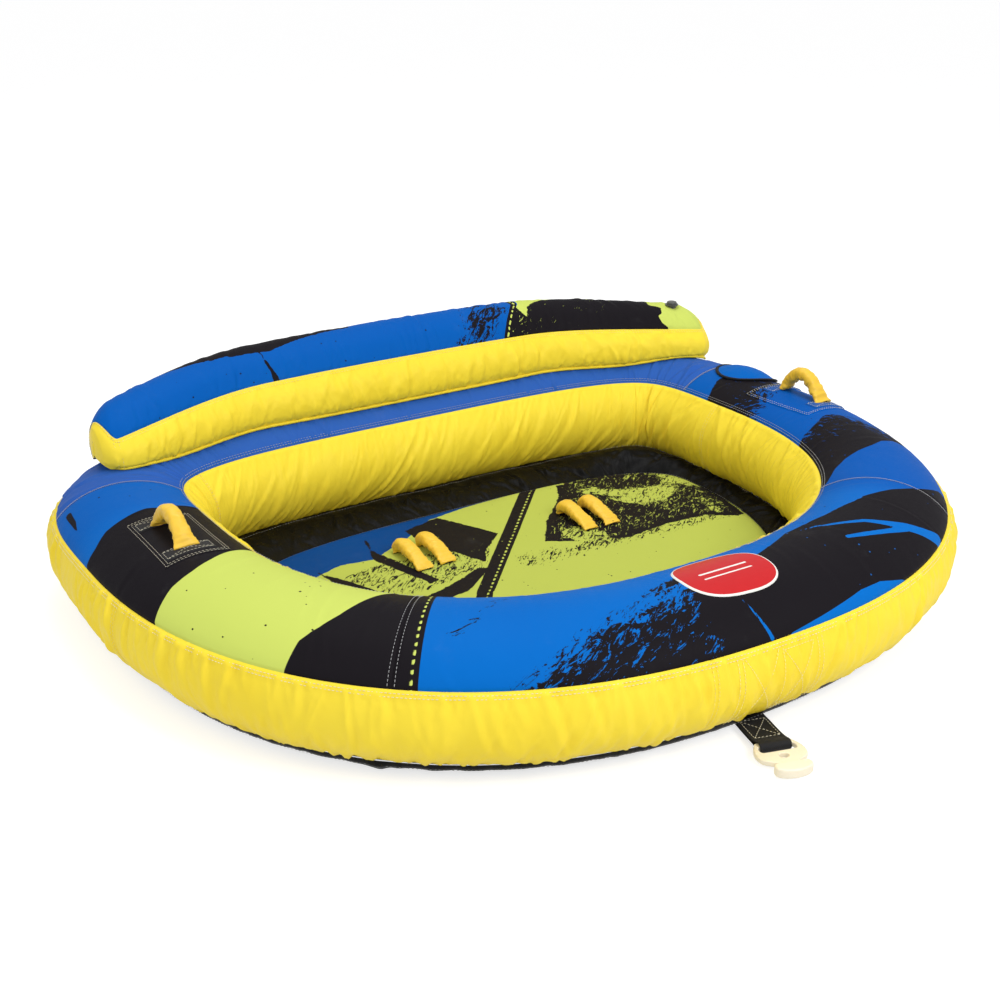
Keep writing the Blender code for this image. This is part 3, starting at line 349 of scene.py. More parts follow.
def quads_mesh(name, co, quads, uv=None, attrs=None):
    """Smooth mesh from arrays: co (n, 3), quads (m, 4); uv and attrs are per point."""
    mesh = bpy.data.meshes.new(name)
    mesh.vertices.add(len(co))
    mesh.vertices.foreach_set("co", np.ascontiguousarray(co, np.float32).ravel())
    count = len(quads)
    mesh.loops.add(4 * count)
    mesh.loops.foreach_set("vertex_index", np.ascontiguousarray(quads, np.int32).ravel())
    mesh.polygons.add(count)
    mesh.polygons.foreach_set("loop_start", np.arange(count, dtype=np.int32) * 4)
    mesh.polygons.foreach_set("loop_total", np.full(count, 4, np.int32))
    mesh.polygons.foreach_set("use_smooth", np.ones(count, bool))
    mesh.update(calc_edges=True)
    mesh.validate()
    if uv is not None:
        layer = mesh.uv_layers.new(name="UVMap")
        index = np.empty(len(mesh.loops), np.int32)
        mesh.loops.foreach_get("vertex_index", index)
        layer.data.foreach_set("uv", np.ascontiguousarray(uv[index], np.float32).ravel())
    for key, value in (attrs or {}).items():
        layer = mesh.attributes.new(key, "FLOAT", "POINT")
        layer.data.foreach_set("value", np.ascontiguousarray(value, np.float32).ravel())
    return link(name, mesh)


def grid_quads(rows, columns, wrap_u=False, wrap_v=False, flip=False):
    i = np.arange(rows if wrap_u else rows - 1)
    j = np.arange(columns if wrap_v else columns - 1)
    i, j = np.meshgrid(i, j, indexing="ij")
    i_next, j_next = (i + 1) % rows, (j + 1) % columns
    quads = np.stack([i * columns + j, i_next * columns + j,
                      i_next * columns + j_next, i * columns + j_next], -1).reshape(-1, 4)
    return quads[:, ::-1] if flip else quads


def grid_object(name, points, uv=None, attrs=None, wrap_u=False, wrap_v=False, flip=False):
    rows, columns = points.shape[:2]
    return quads_mesh(name, points.reshape(-1, 3),
                      grid_quads(rows, columns, wrap_u, wrap_v, flip),
                      None if uv is None else uv.reshape(-1, 2),
                      {key: value.reshape(-1) for key, value in (attrs or {}).items()})


def grid_normals(points):
    normal = np.cross(np.gradient(points, axis=0), np.gradient(points, axis=1))
    collapsed = np.linalg.norm(normal, axis=-1) < 1e-10
    normal = unit(normal)
    normal[collapsed] = UP
    return normal


def capped(obj, spokes, rings):
    """Closes the pinhole in the middle of a polar sheet."""
    bm = bmesh.new()
    bm.from_mesh(obj.data)
    bm.verts.ensure_lookup_table()
    bm.faces.new([bm.verts[i * rings] for i in range(spokes)]).smooth = True
    bm.to_mesh(obj.data)
    bm.free()


# ---------------------------------------------------------------- fastening to the frame
def settle(obj):
    """Bakes the piece's placing and the move to the frame's origin into its mesh."""
    bpy.context.view_layer.update()
    obj.data.transform(Matrix.Translation(SHIFT) @ obj.matrix_world)
    obj.matrix_world = Matrix.Identity(4)
    obj.data.update()


def assign(obj, mat):
    obj.data.materials.clear()
    obj.data.materials.append(mat)


def dress(obj, mat, nodes):
    assign(obj, mat)
    if nodes:
        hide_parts(*nodes)


def keep(obj, mat, slot=None, *nodes, body="tube"):
    """Lets a piece ride on one body; nodes are the frame's pieces it stands for."""
    settle(obj)
    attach(obj, body)
    dress(obj, mat, nodes)


def bend(obj, body, start, end, mat, slot=None, *nodes):
    """Settles a piece, bakes its placing into its mesh and gives it its material; it is not
    bent. body, start and end are not used.
    """
    settle(obj)
    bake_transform(obj)
    dress(obj, mat, nodes)


# ---------------------------------------------------------------- shader graph
class Graph:
    """Short names for shader nodes. Every call but node, put and done returns an output."""

    def __init__(self, name):
        self.mat = bpy.data.materials.new(name)
        self.mat.use_nodes = True
        self.tree = self.mat.node_tree
        self.bsdf = self.tree.nodes["Principled BSDF"]

    def node(self, kind, **settings):
        node = self.tree.nodes.new(kind)
        for key, value in settings.items():
            setattr(node, key, value)
        return node

    def put(self, socket, value):
        if isinstance(value, bpy.types.NodeSocket):
            self.tree.links.new(value, socket)
        elif isinstance(value, tuple) and socket.type == "RGBA" and len(value) == 3:
            socket.default_value = (*value, 1.0)
        else:
            socket.default_value = value

    def math(self, operation, a, b=0.0, c=0.0, clamp=False):
        node = self.node("ShaderNodeMath", operation=operation, use_clamp=clamp)
        for socket, value in zip(node.inputs, (a, b, c)):
            self.put(socket, value)
        return node.outputs[0]

    def times(self, a, b):
        return self.math("MULTIPLY", a, b)

    def plus(self, a, b):
        return self.math("ADD", a, b)

    def minus(self, a, b):
        return self.math("SUBTRACT", a, b)

    def scale_add(self, value, scale, add, clamp=False):
        return self.math("MULTIPLY_ADD", value, scale, add, clamp)

    def step(self, value, low, high):
        """0 below low, 1 above high, smooth between."""
        node = self.node("ShaderNodeMapRange", interpolation_type="SMOOTHSTEP", clamp=True)
        self.put(node.inputs["Value"], value)
        self.put(node.inputs["From Min"], low)
        self.put(node.inputs["From Max"], high)
        return node.outputs["Result"]

    def inside(self, distance, soft=0.0004):
        """1 where a signed distance is positive, soft over a hair's width."""
        return self.step(distance, -soft, soft)

    def mix(self, factor, a, b, mode="MIX"):
        node = self.node("ShaderNodeMix", data_type="RGBA", blend_type=mode)
        self.put(node.inputs["Factor"], factor)
        self.put(node.inputs[6], a)
        self.put(node.inputs[7], b)
        return node.outputs[2]

    def attr(self, name):
        return self.node("ShaderNodeAttribute", attribute_name=name).outputs["Fac"]

    def uv(self):
        return self.node("ShaderNodeTexCoord").outputs["UV"]

    def position(self):
        return self.node("ShaderNodeTexCoord").outputs["Object"]

    def scaled(self, vector, scale=(1, 1, 1), turn=0.0):
        node = self.node("ShaderNodeMapping")
        self.put(node.inputs["Vector"], vector)
        node.inputs["Scale"].default_value = scale
        node.inputs["Rotation"].default_value = (0, 0, turn)
        return node.outputs[0]

    def noise(self, vector, scale, detail=3.0, rough=0.55, distort=0.0):
        node = self.node("ShaderNodeTexNoise")
        self.put(node.inputs["Vector"], vector)
        node.inputs["Scale"].default_value = scale
        node.inputs["Detail"].default_value = detail
        node.inputs["Roughness"].default_value = rough
        node.inputs["Distortion"].default_value = distort
        return node.outputs["Fac"]

    def weave(self, vector, pitch, turn=0.0):
        """Plain weave: 0 to 1 height from two crossed sets of threads."""
        split = self.node("ShaderNodeSeparateXYZ")
        self.put(split.inputs[0], self.scaled(vector, (1 / pitch, 1 / pitch, 1 / pitch), turn))
        x, y = (self.math("SINE", self.times(split.outputs[i], TURN)) for i in (0, 1))
        return self.scale_add(self.times(x, y), 0.5, 0.5)

    def bump(self, height, strength, distance, normal=None):
        node = self.node("ShaderNodeBump")
        node.inputs["Strength"].default_value = strength
        node.inputs["Distance"].default_value = distance
        self.put(node.inputs["Height"], height)
        if normal is not None:
            self.put(node.inputs["Normal"], normal)
        return node.outputs[0]

    def done(self, colour, rough, normal=None, sheen=0.0, metal=0.0, spec=0.5):
        inputs = self.bsdf.inputs
        self.put(inputs["Base Color"], colour)
        self.put(inputs["Roughness"], rough)
        inputs["Metallic"].default_value = metal
        inputs["Specular IOR Level"].default_value = spec
        inputs["Sheen Weight"].default_value = sheen
        inputs["Sheen Roughness"].default_value = 0.4
        if normal is not None:
            self.put(inputs["Normal"], normal)
        return self.mat


def srgb(*channels):
    return tuple(((c / 255 + 0.055) / 1.055) ** 2.4 if c > 10 else c / 255 / 12.92
                 for c in channels)


BLUE, BLUE_DEEP, ROYAL = srgb(0, 106, 194), srgb(0, 84, 172), srgb(44, 92, 176)
BLACK, LIME, WHITE = srgb(24, 21, 25), srgb(203, 216, 104), srgb(232, 232, 226)


# ---------------------------------------------------------------- materials
def cloth(name, colour, deep, pitch, rough, sheen, bump, vary, crush=0.0, spec=0.35):
    """Woven cloth: crossed threads, slow colour variation and, with crush, fine folds."""
    g = Graph(name)
    uv = g.uv()
    slow = g.noise(g.position(), scale=5.0, detail=3.0)
    fine = g.noise(g.position(), scale=90.0, detail=3.0, rough=0.6)
    thread = g.weave(uv, pitch)
    tint = g.mix(g.times(slow, vary), colour, deep)
    tint = g.mix(g.times(thread, 0.10), tint, deep)
    height = g.scale_add(fine, scale=0.35, add=g.times(thread, 0.55))
    normal = g.bump(height, strength=bump, distance=0.0006)
    if crush:
        folds = g.noise(g.scaled(uv, (1.0, 0.35, 1.0)), scale=46.0, detail=4.0, rough=0.6,
                        distort=1.2)
        normal = g.bump(folds, strength=crush, distance=0.006, normal=normal)
    roughness = g.scale_add(fine, scale=0.16, add=rough - 0.08)
    return g.done(tint, roughness, normal, sheen=sheen, spec=spec)


def printed(name, size=1.0, lime=LIME, blue=BLUE, blue_deep=BLUE_DEEP):
    """Printed cloth; size scales its textures. Point attributes give how far inside each
    colour a point is, in metres (negative outside): bk black, lm lime, wt lime dashes,
    rb royal, ov blue over the rest; and gr how ragged the print's edges are, sc how
    scratched the black is, sp how speckled, fl how flecked, dk how deep the blue is."""
    g = Graph(name)
    uv = g.uv()
    lime_low = tuple(c * k for c, k in zip(lime, (0.86, 0.92, 0.70)))
    # ragged edges: fine and chunky noise, centred on zero
    ragged = g.noise(g.scaled(uv), scale=55.0 * size, detail=6.0, rough=0.72, distort=0.6)
    chunky = g.noise(g.scaled(uv, turn=0.6), scale=17.0 * size, detail=3.0, rough=0.6,
                     distort=0.4)
    edge = g.plus(g.times(g.minus(ragged, 0.5), 2.2), g.times(g.minus(chunky, 0.5), 1.6))
    shift = g.times(edge, g.attr("gr"))
    black = g.inside(g.plus(g.attr("bk"), shift))
    in_lime = g.inside(g.plus(g.attr("lm"), g.times(shift, 0.6)))
    royal = g.inside(g.attr("rb"))
    # scratches: dry-brush gaps where the ink below shows through the black
    brush = g.noise(g.scaled(g.scaled(uv, turn=0.85), (1.0, 0.28, 1.0)), scale=95.0 * size,
                    detail=5.0, rough=0.7, distort=1.4)
    cross_brush = g.noise(g.scaled(g.scaled(uv, turn=-0.5), (0.35, 1.0, 1.0)),
                          scale=60.0 * size, detail=4.0, rough=0.7, distort=1.8)
    worn = g.math("MAXIMUM", brush, g.minus(cross_brush, 0.07))
    gap = g.step(g.minus(worn, g.minus(0.755, g.times(g.attr("sc"), 0.27))), 0.0, 0.012)
    gap = g.times(gap, g.step(g.attr("sc"), 0.02, 0.06))
    # specks: random cells hold a dot of random size
    cells = g.node("ShaderNodeTexVoronoi")
    g.put(cells.inputs["Vector"], uv)
    cells.inputs["Scale"].default_value = 55.0 * size
    chance = g.node("ShaderNodeSeparateColor")
    g.put(chance.inputs[0], cells.outputs["Color"])
    radius = g.scale_add(chance.outputs[1], scale=0.085, add=0.05)
    dot = g.minus(1.0, g.inside(g.minus(cells.outputs["Distance"], radius), soft=0.008))
    dot = g.times(dot, g.step(g.minus(g.attr("sp"), chance.outputs[0]), 0.0, 0.02))
    # flecks: dark brush marks on the colours
    flecks = g.step(g.minus(brush, g.minus(0.835, g.times(g.attr("fl"), 0.34))), 0.0, 0.012)
    flecks = g.times(flecks, g.step(g.attr("fl"), 0.02, 0.06))
    # inks from the ground up
    slow = g.noise(g.position(), scale=4.0, detail=2.0)
    ground = g.mix(g.scale_add(slow, scale=0.35, add=g.attr("dk"), clamp=True), blue, blue_deep)
    ground = g.mix(royal, ground, ROYAL)
    ground = g.mix(in_lime, ground, g.mix(g.times(slow, 0.30), lime, lime_low))
    dark = g.math("MAXIMUM", g.times(black, g.minus(1.0, gap)),
                  g.times(g.minus(1.0, black), g.math("MAXIMUM", dot, flecks)))
    dark = g.times(dark, g.minus(1.0, g.times(g.times(dot, black), 0.8)))
    tint = g.mix(dark, ground, g.mix(g.times(slow, 0.4), BLACK, srgb(28, 25, 31)))
    tint = g.mix(g.inside(g.attr("wt")), tint, lime)
    tint = g.mix(g.inside(g.plus(g.attr("ov"), g.times(shift, 0.15))), tint, blue)
    # threads, and pale rubbed areas
    thread = g.weave(uv, pitch=0.0013, turn=0.4)
    fine = g.noise(g.position(), scale=120.0, detail=3.0, rough=0.6)
    tint = g.mix(g.times(thread, 0.07), tint, g.mix(1.0, tint, (0.25, 0.25, 0.25), "MULTIPLY"))
    rubbed = g.step(g.noise(g.position(), scale=14.0, detail=5.0, rough=0.65), 0.60, 0.86)
    tint = g.mix(g.times(rubbed, 0.025), tint, srgb(205, 208, 206))
    height = g.scale_add(fine, scale=0.4, add=g.times(thread, 0.5))
    return g.done(tint, g.scale_add(fine, scale=0.14, add=0.46),
                  g.bump(height, strength=0.25, distance=0.0006), spec=0.05)


def thread_material(name, *colour):
    colour = srgb(*colour)
    g = Graph(name)
    twist = g.noise(g.scaled(g.position()), scale=900.0, detail=2.0)
    tone = g.noise(g.position(), scale=25.0, detail=3.0)
    tint = g.mix(g.times(tone, 0.5), colour, tuple(c * 0.72 for c in colour))
    return g.done(tint, 0.55, g.bump(twist, strength=0.5, distance=0.0003), sheen=0.1)


def strap_material(name, colour, deep, pitch=0.0022, rough=0.5):
    g = Graph(name)
    ribs = g.weave(g.position(), pitch)
    fine = g.noise(g.position(), scale=300.0, detail=2.0)
    return g.done(g.mix(g.times(ribs, 0.6), colour, deep),
                  g.scale_add(fine, scale=0.1, add=rough - 0.05),
                  g.bump(ribs, strength=0.6, distance=0.0008), sheen=0.04, spec=0.16)


def plain_material(name, colour, deep, rough, metal=0.0):
    g = Graph(name)
    fine = g.noise(g.position(), scale=260.0, detail=3.0)
    soft = g.noise(g.position(), scale=22.0, detail=2.0)
    return g.done(g.mix(soft, colour, deep), g.scale_add(fine, scale=0.12, add=rough),
                  g.bump(fine, strength=0.08, distance=0.0003), metal=metal)


def bladder_material():
    g = Graph("bladder_vinyl")
    cloud = g.noise(g.position(), scale=8.0, detail=3.0)
    fine = g.noise(g.position(), scale=160.0, detail=2.0)
    return g.done(g.mix(cloud, srgb(228, 228, 224), srgb(210, 211, 210)),
                  g.scale_add(fine, scale=0.1, add=0.28),
                  g.bump(fine, strength=0.1, distance=0.0004))


def badge_material():
    """Red with a white rim and two white marks, from the attributes rim and mark."""
    g = Graph("badge_print")
    gloss = g.noise(g.position(), scale=60.0, detail=3.0)
    field = g.step(g.attr("rim"), 0.0035, 0.0041)
    mark = g.inside(g.attr("mark"), soft=0.0003)
    red = g.mix(g.times(gloss, 0.3), srgb(196, 34, 38), srgb(180, 29, 34))
    tint = g.mix(g.times(mark, field), g.mix(field, WHITE, red), WHITE)
    return g.done(tint, g.scale_add(gloss, scale=0.1, add=0.30),
                  g.bump(gloss, strength=0.08, distance=0.0004), spec=0.16)


def ivory_material():
    g = Graph("ivory_plastic")
    fine = g.noise(g.position(), scale=220.0, detail=2.0)
    soft = g.noise(g.position(), scale=18.0, detail=2.0)
    tint = g.mix(g.times(soft, 0.5), srgb(246, 237, 214), srgb(234, 221, 190))
    g.bsdf.inputs["Subsurface Weight"].default_value = 0.12
    g.bsdf.inputs["Subsurface Radius"].default_value = (0.006, 0.005, 0.004)
    return g.done(tint, g.scale_add(fine, scale=0.08, add=0.32),
                  g.bump(fine, strength=0.05, distance=0.0003))


THREAD_MAT = thread_material("thread_white", 236, 230, 205)
THREAD_GREY = thread_material("thread_grey", 176, 176, 178)
THREAD_DARK = thread_material("thread_dark", 104, 104, 106)
THREAD_YELLOW = thread_material("thread_yellow", 246, 232, 150)
THREAD_FAINT = thread_material("thread_pale_yellow", 250, 240, 190)
PRINT_MAT = printed("printed_cloth")
# The deck's print is a darker copy of the ring's: its lime and blues hold painted shade of the
# recess the deck lies in.
DECK_PRINT_PAINTED_SHADE = printed("printed_floor_painted_shade", size=1.25, lime=srgb(184, 194, 88), blue=srgb(0, 84, 160),
                   blue_deep=srgb(0, 58, 120))
YELLOW_MAT = cloth("yellow_nylon", srgb(249, 225, 70), srgb(242, 212, 48), pitch=0.0011,
                   rough=0.40, sheen=0.0, bump=0.20, vary=0.8, crush=0.08, spec=0.09)
SKIRT_MAT = cloth("black_coated_cloth", srgb(14, 14, 15), srgb(7, 7, 8), pitch=0.0014,
                  rough=0.30, sheen=0.0, bump=0.25, vary=0.6, crush=0.45, spec=0.07)
UNDER_MAT = cloth("black_base_cloth", srgb(38, 37, 40), srgb(24, 24, 26), pitch=0.0018,
                  rough=0.62, sheen=0.1, bump=0.4, vary=0.6)
PATCH_BLACK = cloth("patch_black", BLACK, srgb(26, 23, 28), pitch=0.0013, rough=0.45,
                    sheen=0.0, bump=0.22, vary=0.5, spec=0.06)
GRIP_MAT = cloth("grip_cloth", srgb(246, 204, 62), srgb(226, 176, 40), pitch=0.0011,
                 rough=0.40, sheen=0.12, bump=0.2, vary=0.7, spec=0.42)
BLADDER_MAT = bladder_material()
WEB_MAT = strap_material("black_webbing", srgb(40, 40, 43), srgb(20, 20, 22))
WEB_BLUE = strap_material("blue_webbing", srgb(8, 92, 176), srgb(4, 66, 140))
BIND_MAT = strap_material("binding_tape", srgb(24, 23, 27), srgb(12, 12, 14), pitch=0.0012,
                          rough=0.55)


# ---------------------------------------------------------------- print fields
def blank(shape):
    """Print attributes with every ink absent; printed() tells what they mean."""
    ink = {key: np.full(shape, -1.0) for key in ("bk", "lm", "rb", "wt", "ov")}
    ink.update({key: np.zeros(shape) for key in ("gr", "sc", "sp", "fl", "dk")})
    return ink


def paint(ink, key, value):
    ink[key] = np.maximum(ink[key], value)


def dash_offset(distance, pitch):
    """How far a point is from the middle of its dash."""
    return np.abs((distance / pitch) % 1.0 - 0.5) * pitch


def segment_gap(x, y, start, end):
    """Distance to a segment, and the share along it of the nearest point."""
    (x0, y0), (x1, y1) = start, end
    dx, dy = x1 - x0, y1 - y0
    share = np.clip(((x - x0) * dx + (y - y0) * dy) / max(dx * dx + dy * dy, 1e-12), 0, 1)
    return np.hypot(x - x0 - dx * share, y - y0 - dy * share), share


def poly_sdf(x, y, corners):
    """Signed distance to a closed polygon, positive inside."""
    corners = np.asarray(corners, float)
    gap = np.full(x.shape, 1e9)
    inside = np.zeros(x.shape, bool)
    for (x0, y0), (x1, y1) in zip(corners, np.roll(corners, -1, 0)):
        gap = np.minimum(gap, segment_gap(x, y, (x0, y0), (x1, y1))[0])
        if y1 != y0:
            crossing = ((y0 <= y) & (y < y1)) | ((y1 <= y) & (y < y0))
            inside ^= crossing & (x < x0 + (y - y0) / (y1 - y0) * (x1 - x0))
    return np.where(inside, gap, -gap)


def line_sdf(x, y, points, widths):
    """Positive within a tapering stroke along a polyline."""
    out = np.full(x.shape, -1e9)
    for k in range(len(points) - 1):
        gap, share = segment_gap(x, y, points[k], points[k + 1])
        out = np.maximum(out, widths[k] * (1 - share) + widths[k + 1] * share - gap)
    return out


# ---------------------------------------------------------------- stitches
ZIGZAG_PITCH = 0.0022
# A stitch is three diamond rings of four points, closed at both ends.
STITCH_FACES = []
for k in range(4):
    k_next = (k + 1) % 4
    STITCH_FACES += [(k, k_next, 4 + k_next, 4 + k), (4 + k, 4 + k_next, 8 + k_next, 8 + k)]
STITCH_FACES += [(3, 2, 1, 0), (8, 9, 10, 11)]


def stitch_blocks(starts, ends, normals, radius):
    """A small raised thread from each start to each end, lying on the surface."""
    tangent = unit(ends - starts)
    up = unit(normals - (normals * tangent).sum(1)[:, None] * tangent)
    side = np.cross(tangent, up)
    middle = (starts + ends) / 2 + up * radius * 0.55
    corners = []
    for centre, size, sink in ((starts, 0.45, -0.35), (middle, 1.0, 0.0), (ends, 0.45, -0.35)):
        for across, rise in ((1, 0), (0, 1), (-1, 0), (0, -1)):
            corners.append(centre + side * (radius * size * across)
                           + up * (radius * (size * rise * 0.9 + sink)))
    return np.stack(corners, 1)


def stitch_mesh(name, lines, length=0.0045, gap=0.0021, radius=0.00062, zigzag=0.0):
    """Stitches along lines of (points, normals, closed). With zigzag, the thread crosses
    from side to side by that much."""
    blocks = []
    for points, normals, closed in lines:
        if closed:
            points, normals = (np.vstack([rows, rows[:1]]) for rows in (points, normals))
        distances = walked(points)
        total = distances[-1]
        if zigzag:
            count = max(2, int(total / ZIGZAG_PITCH))
            at = np.linspace(0, total, count + 1)
            spots, up = (interp_rows(at, distances, rows) for rows in (points, normals))
            sideways = np.cross(unit(np.gradient(spots, axis=0)), up)
            sign = np.where(np.arange(count + 1) % 2 == 0, 1.0, -1.0)[:, None]
            spots = spots + sideways * sign * zigzag
            blocks.append(stitch_blocks(spots[:-1], spots[1:], (up[:-1] + up[1:]) / 2, radius))
        else:
            count = max(1, int(total / (length + gap)))
            at = (np.arange(count) + 0.5) * total / count
            blocks.append(stitch_blocks(interp_rows(at - length / 2, distances, points),
                                        interp_rows(at + length / 2, distances, points),
                                        interp_rows(at, distances, normals), radius))
    corners = np.concatenate(blocks)
    first = np.arange(len(corners))[:, None, None] * 12
    return quads_mesh(name, corners.reshape(-1, 3),
                      (np.array(STITCH_FACES)[None] + first).reshape(-1, 4))


def stitches(name, lines, mat=THREAD_MAT, **sizes):
    keep(stitch_mesh(name, lines, **sizes), mat)


def flat_line(points, closed=False):
    """A stitch line with its normals straight up."""
    return points, np.tile(UP, (len(points), 1)), closed


# ---------------------------------------------------------------- simulated folds
DRAWN = 0.75      # drawn creases only add detail to simulated folds
SIM_FRAMES = 16


def sample_grid(grid, row, column):
    """A grid read with smooth cubic weights at fractional rows and columns."""
    rows, columns = grid.shape
    row, column = np.clip(row, 0, rows - 1.0001), np.clip(column, 0, columns - 1.0001)
    i, j = np.floor(row).astype(int), np.floor(column).astype(int)

    def weights(t):
        return ((-t + 2 * t * t - t ** 3) / 2, (2 - 5 * t * t + 3 * t ** 3) / 2,
                (t + 4 * t * t - 3 * t ** 3) / 2, (t ** 3 - t * t) / 2)

    out = 0.0
    for a, row_weight in enumerate(weights(row - i)):
        for b, column_weight in enumerate(weights(column - j)):
            out = out + row_weight * column_weight * grid[np.clip(i + a - 1, 0, rows - 1),
                                                          np.clip(j + b - 1, 0, columns - 1)]
    return out


def blown(points, normals, seed, grow, bending, slants=(-0.3, 0.3)):
    """Cloth simulation of one sewn panel, given as a grid of points and outward normals. It
    is cut as a flat strip as long as its longest line and larger by grow, its rim is
    gathered onto the seams, and the air behind pushes it out. Returns each point's move
    outwards."""
    rows, columns = points.shape[:2]
    rng = np.random.default_rng(seed)
    steps = np.linalg.norm(np.diff(points, axis=0), axis=-1)
    flat_x = running(np.quantile(steps, 0.9, axis=1)) * (1 + grow)
    flat_y = arc_grid(points) * 1.004
    flat_x = flat_x[:, None] + 0 * flat_y
    seeds = creases(flat_x, flat_y, rng, int(flat_x[-1, 0] * 45), height=(0.0010, 0.0030),
                    width=(0.007, 0.013), slant=slants)
    from_rim = np.minimum(np.arange(columns), columns - 1 - np.arange(columns))
    start = (seeds + 0.0002 * rng.standard_normal((rows, columns))) * ease(from_rim / 2.5)[None]
    obj = grid_object("panel_in_simulation", points + normals * start[..., None])
    obj.shape_key_add(name="Basis")
    pattern = obj.shape_key_add(name="pattern")
    flat = np.stack([flat_x, flat_y, 0 * flat_y], -1)
    pattern.data.foreach_set("co", flat.astype(np.float32).ravel())
    pattern.value = 0.0
    i, j = np.meshgrid(np.arange(rows), np.arange(columns), indexing="ij")
    rim = (i == 0) | (i == rows - 1) | (j == 0) | (j == columns - 1)
    group = obj.vertex_groups.new(name="seam")
    group.add([int(i) for i in np.flatnonzero(rim.ravel())], 1.0, "REPLACE")
    mod = obj.modifiers.new("cloth", "CLOTH")
    settings = mod.settings
    settings.quality = 4
    settings.mass = 0.12
    settings.air_damping = 1.0
    settings.tension_stiffness = settings.compression_stiffness = 40.0
    settings.shear_stiffness = 6.0
    settings.bending_stiffness = bending
    settings.vertex_group_mass = "seam"
    settings.rest_shape_key = pattern
    settings.use_pressure = True
    settings.uniform_pressure_force = 6.0
    settings.effector_weights.gravity = 0.0
    mod.collision_settings.use_collision = False
    mod.point_cache.frame_start, mod.point_cache.frame_end = 1, SIM_FRAMES
    now = scene.frame_current
    for frame_number in range(1, SIM_FRAMES + 1):
        scene.frame_set(frame_number)
    mesh = obj.evaluated_get(bpy.context.evaluated_depsgraph_get()).data
    co = np.empty(rows * columns * 3, np.float32)
    mesh.vertices.foreach_get("co", co)
    out = ((co.reshape(rows, columns, 3) - points) * normals).sum(-1)
    bpy.data.objects.remove(obj)
    scene.frame_set(now)
    # the frame's shape already holds the swell, so a slow average along the seam comes off
    k = max(3, rows // 12)
    padded = np.concatenate([np.repeat(out[:1], k, 0), out, np.repeat(out[-1:], k, 0)])
    total = np.concatenate([np.zeros((1, columns)), np.cumsum(padded, axis=0)])
    return out - 0.85 * (total[2 * k + 1:] - total[:-2 * k - 1]) / (2 * k + 1)


def arc_grid(points):
    """Distance walked along each row of a grid."""
    steps = np.linalg.norm(np.diff(points, axis=1), axis=-1)
    return np.concatenate([np.zeros((points.shape[0], 1)), np.cumsum(steps, axis=1)], 1)


def ring_folds(start, stop, phi0, phi1, seed, grow, slants=(-0.3, 0.3)):
    """Simulated folds of one ring panel, as a function of its distances along and down."""
    step = 0.0055
    s = span(start, stop, step)
    top, bottom = float(arc_len(phi0)), float(arc_len(phi1))
    rows = np.linspace(0, bottom - top, int(round((bottom - top) / step)) + 1)
    along, down = np.meshgrid(s, rows, indexing="ij")
    points, normals = ring(along, phi_of(top + down))
    out = np.clip(blown(points, normals, seed, grow, 0.02, slants), -0.0035, 0.0060)
    return lambda along, down: sample_grid(out, (along - s[0]) / (s[1] - s[0]),
                                           down / (rows[1] - rows[0]))


# ---------------------------------------------------------------- ring covers
def edge_groove(down, height, wide, deep):
    return -deep * (bell(down, wide) + bell(height - down, wide))


def hem_fade(down, height, wide=0.010):
    return ease(down / wide) * ease((height - down) / wide)


def ring_panel(name, start, stop, phi0, phi1, lift_at, step, row_step, fields=None, ends=True):
    """A fine sheet over part of the ring, raised by lift_at(along, down, height); its edges
    sink into the seams."""
    s = span(start, stop, step)
    top, bottom = float(arc_len(phi0)), float(arc_len(phi1))
    height = bottom - top
    rows = np.linspace(0, height, max(4, int(round(height / row_step)) + 1))
    # finer rows next to the seams, where the cloth turns in
    fine = np.array([0.0012, 0.0025, 0.0045, 0.007])
    rows = np.unique(np.concatenate([rows, fine, height - fine]))
    along, down = np.meshgrid(s, rows, indexing="ij")
    phi = phi_of(top + down)
    lift = lift_at(along, down, height)
    if ends:
        from_end = np.minimum(along - s[0], s[-1] - s[0] - (along - s[0]))
        lift = lift * ease(from_end / 0.007) - 0.0014 * bell(from_end, 0.0030)
    lift = lift + edge_groove(down, height, wide=0.0030, deep=0.0016)
    return grid_object(name, ring(along, phi, lift)[0], np.stack([along, top + down], -1),
                       fields(along, down, phi) if fields else None)


# Edges of the print across the ring's top: angles in degrees, walk distances there.
DARK_START = ([28, 44, 57, 74, 89, 98, 134], [2.002, 1.990, 1.969, 1.960, 1.952, 1.958, 1.930])
LIME_START = ([28, 56, 73, 89, 107, 126, 135],
              [2.244, 2.229, 2.228, 2.220, 2.204, 2.191, 2.185])
LIME_END = ([28, 51, 58, 75, 110, 135], [2.474, 2.480, 2.490, 2.515, 2.551, 2.575])
RIGHT_START = ([28, 62, 76, 87, 100, 112, 122, 129, 135],
               [3.955, 3.945, 3.925, 3.894, 3.867, 3.834, 3.793, 3.723, 3.715])
RIGHT_END = ([28, 62, 76, 86, 97, 110, 124, 135],
             [4.045, 4.060, 4.080, 4.092, 4.086, 4.055, 4.034, 4.010])
VALVE_START = ([28, 90, 106, 122, 134], [4.285, 4.268, 4.243, 4.216, 4.213])
VALVE_END = ([28, 90, 100, 112, 122, 135], [0.100, 0.098, 0.095, 0.087, 0.073, 0.060])
# Edges that run along the ring: walk distances, angles in degrees there.
BOW_CAP = ([2.735, 2.767, 2.813, 2.870, 2.930, 2.995, 3.046, 3.100, 3.250, 3.368, 3.450,
            3.544, 3.607, 3.664, 3.726, 3.769, 3.790],
           [14, 25, 39, 58, 68, 77, 81, 88, 98, 112, 110, 103, 95, 80, 57, 41, 10])
BLUE_CAP = ([3.150, 3.182, 3.268, 3.344, 3.390, 3.440, 3.470],
            [20, 29.5, 34.5, 39.0, 38.0, 30.5, 24.0])
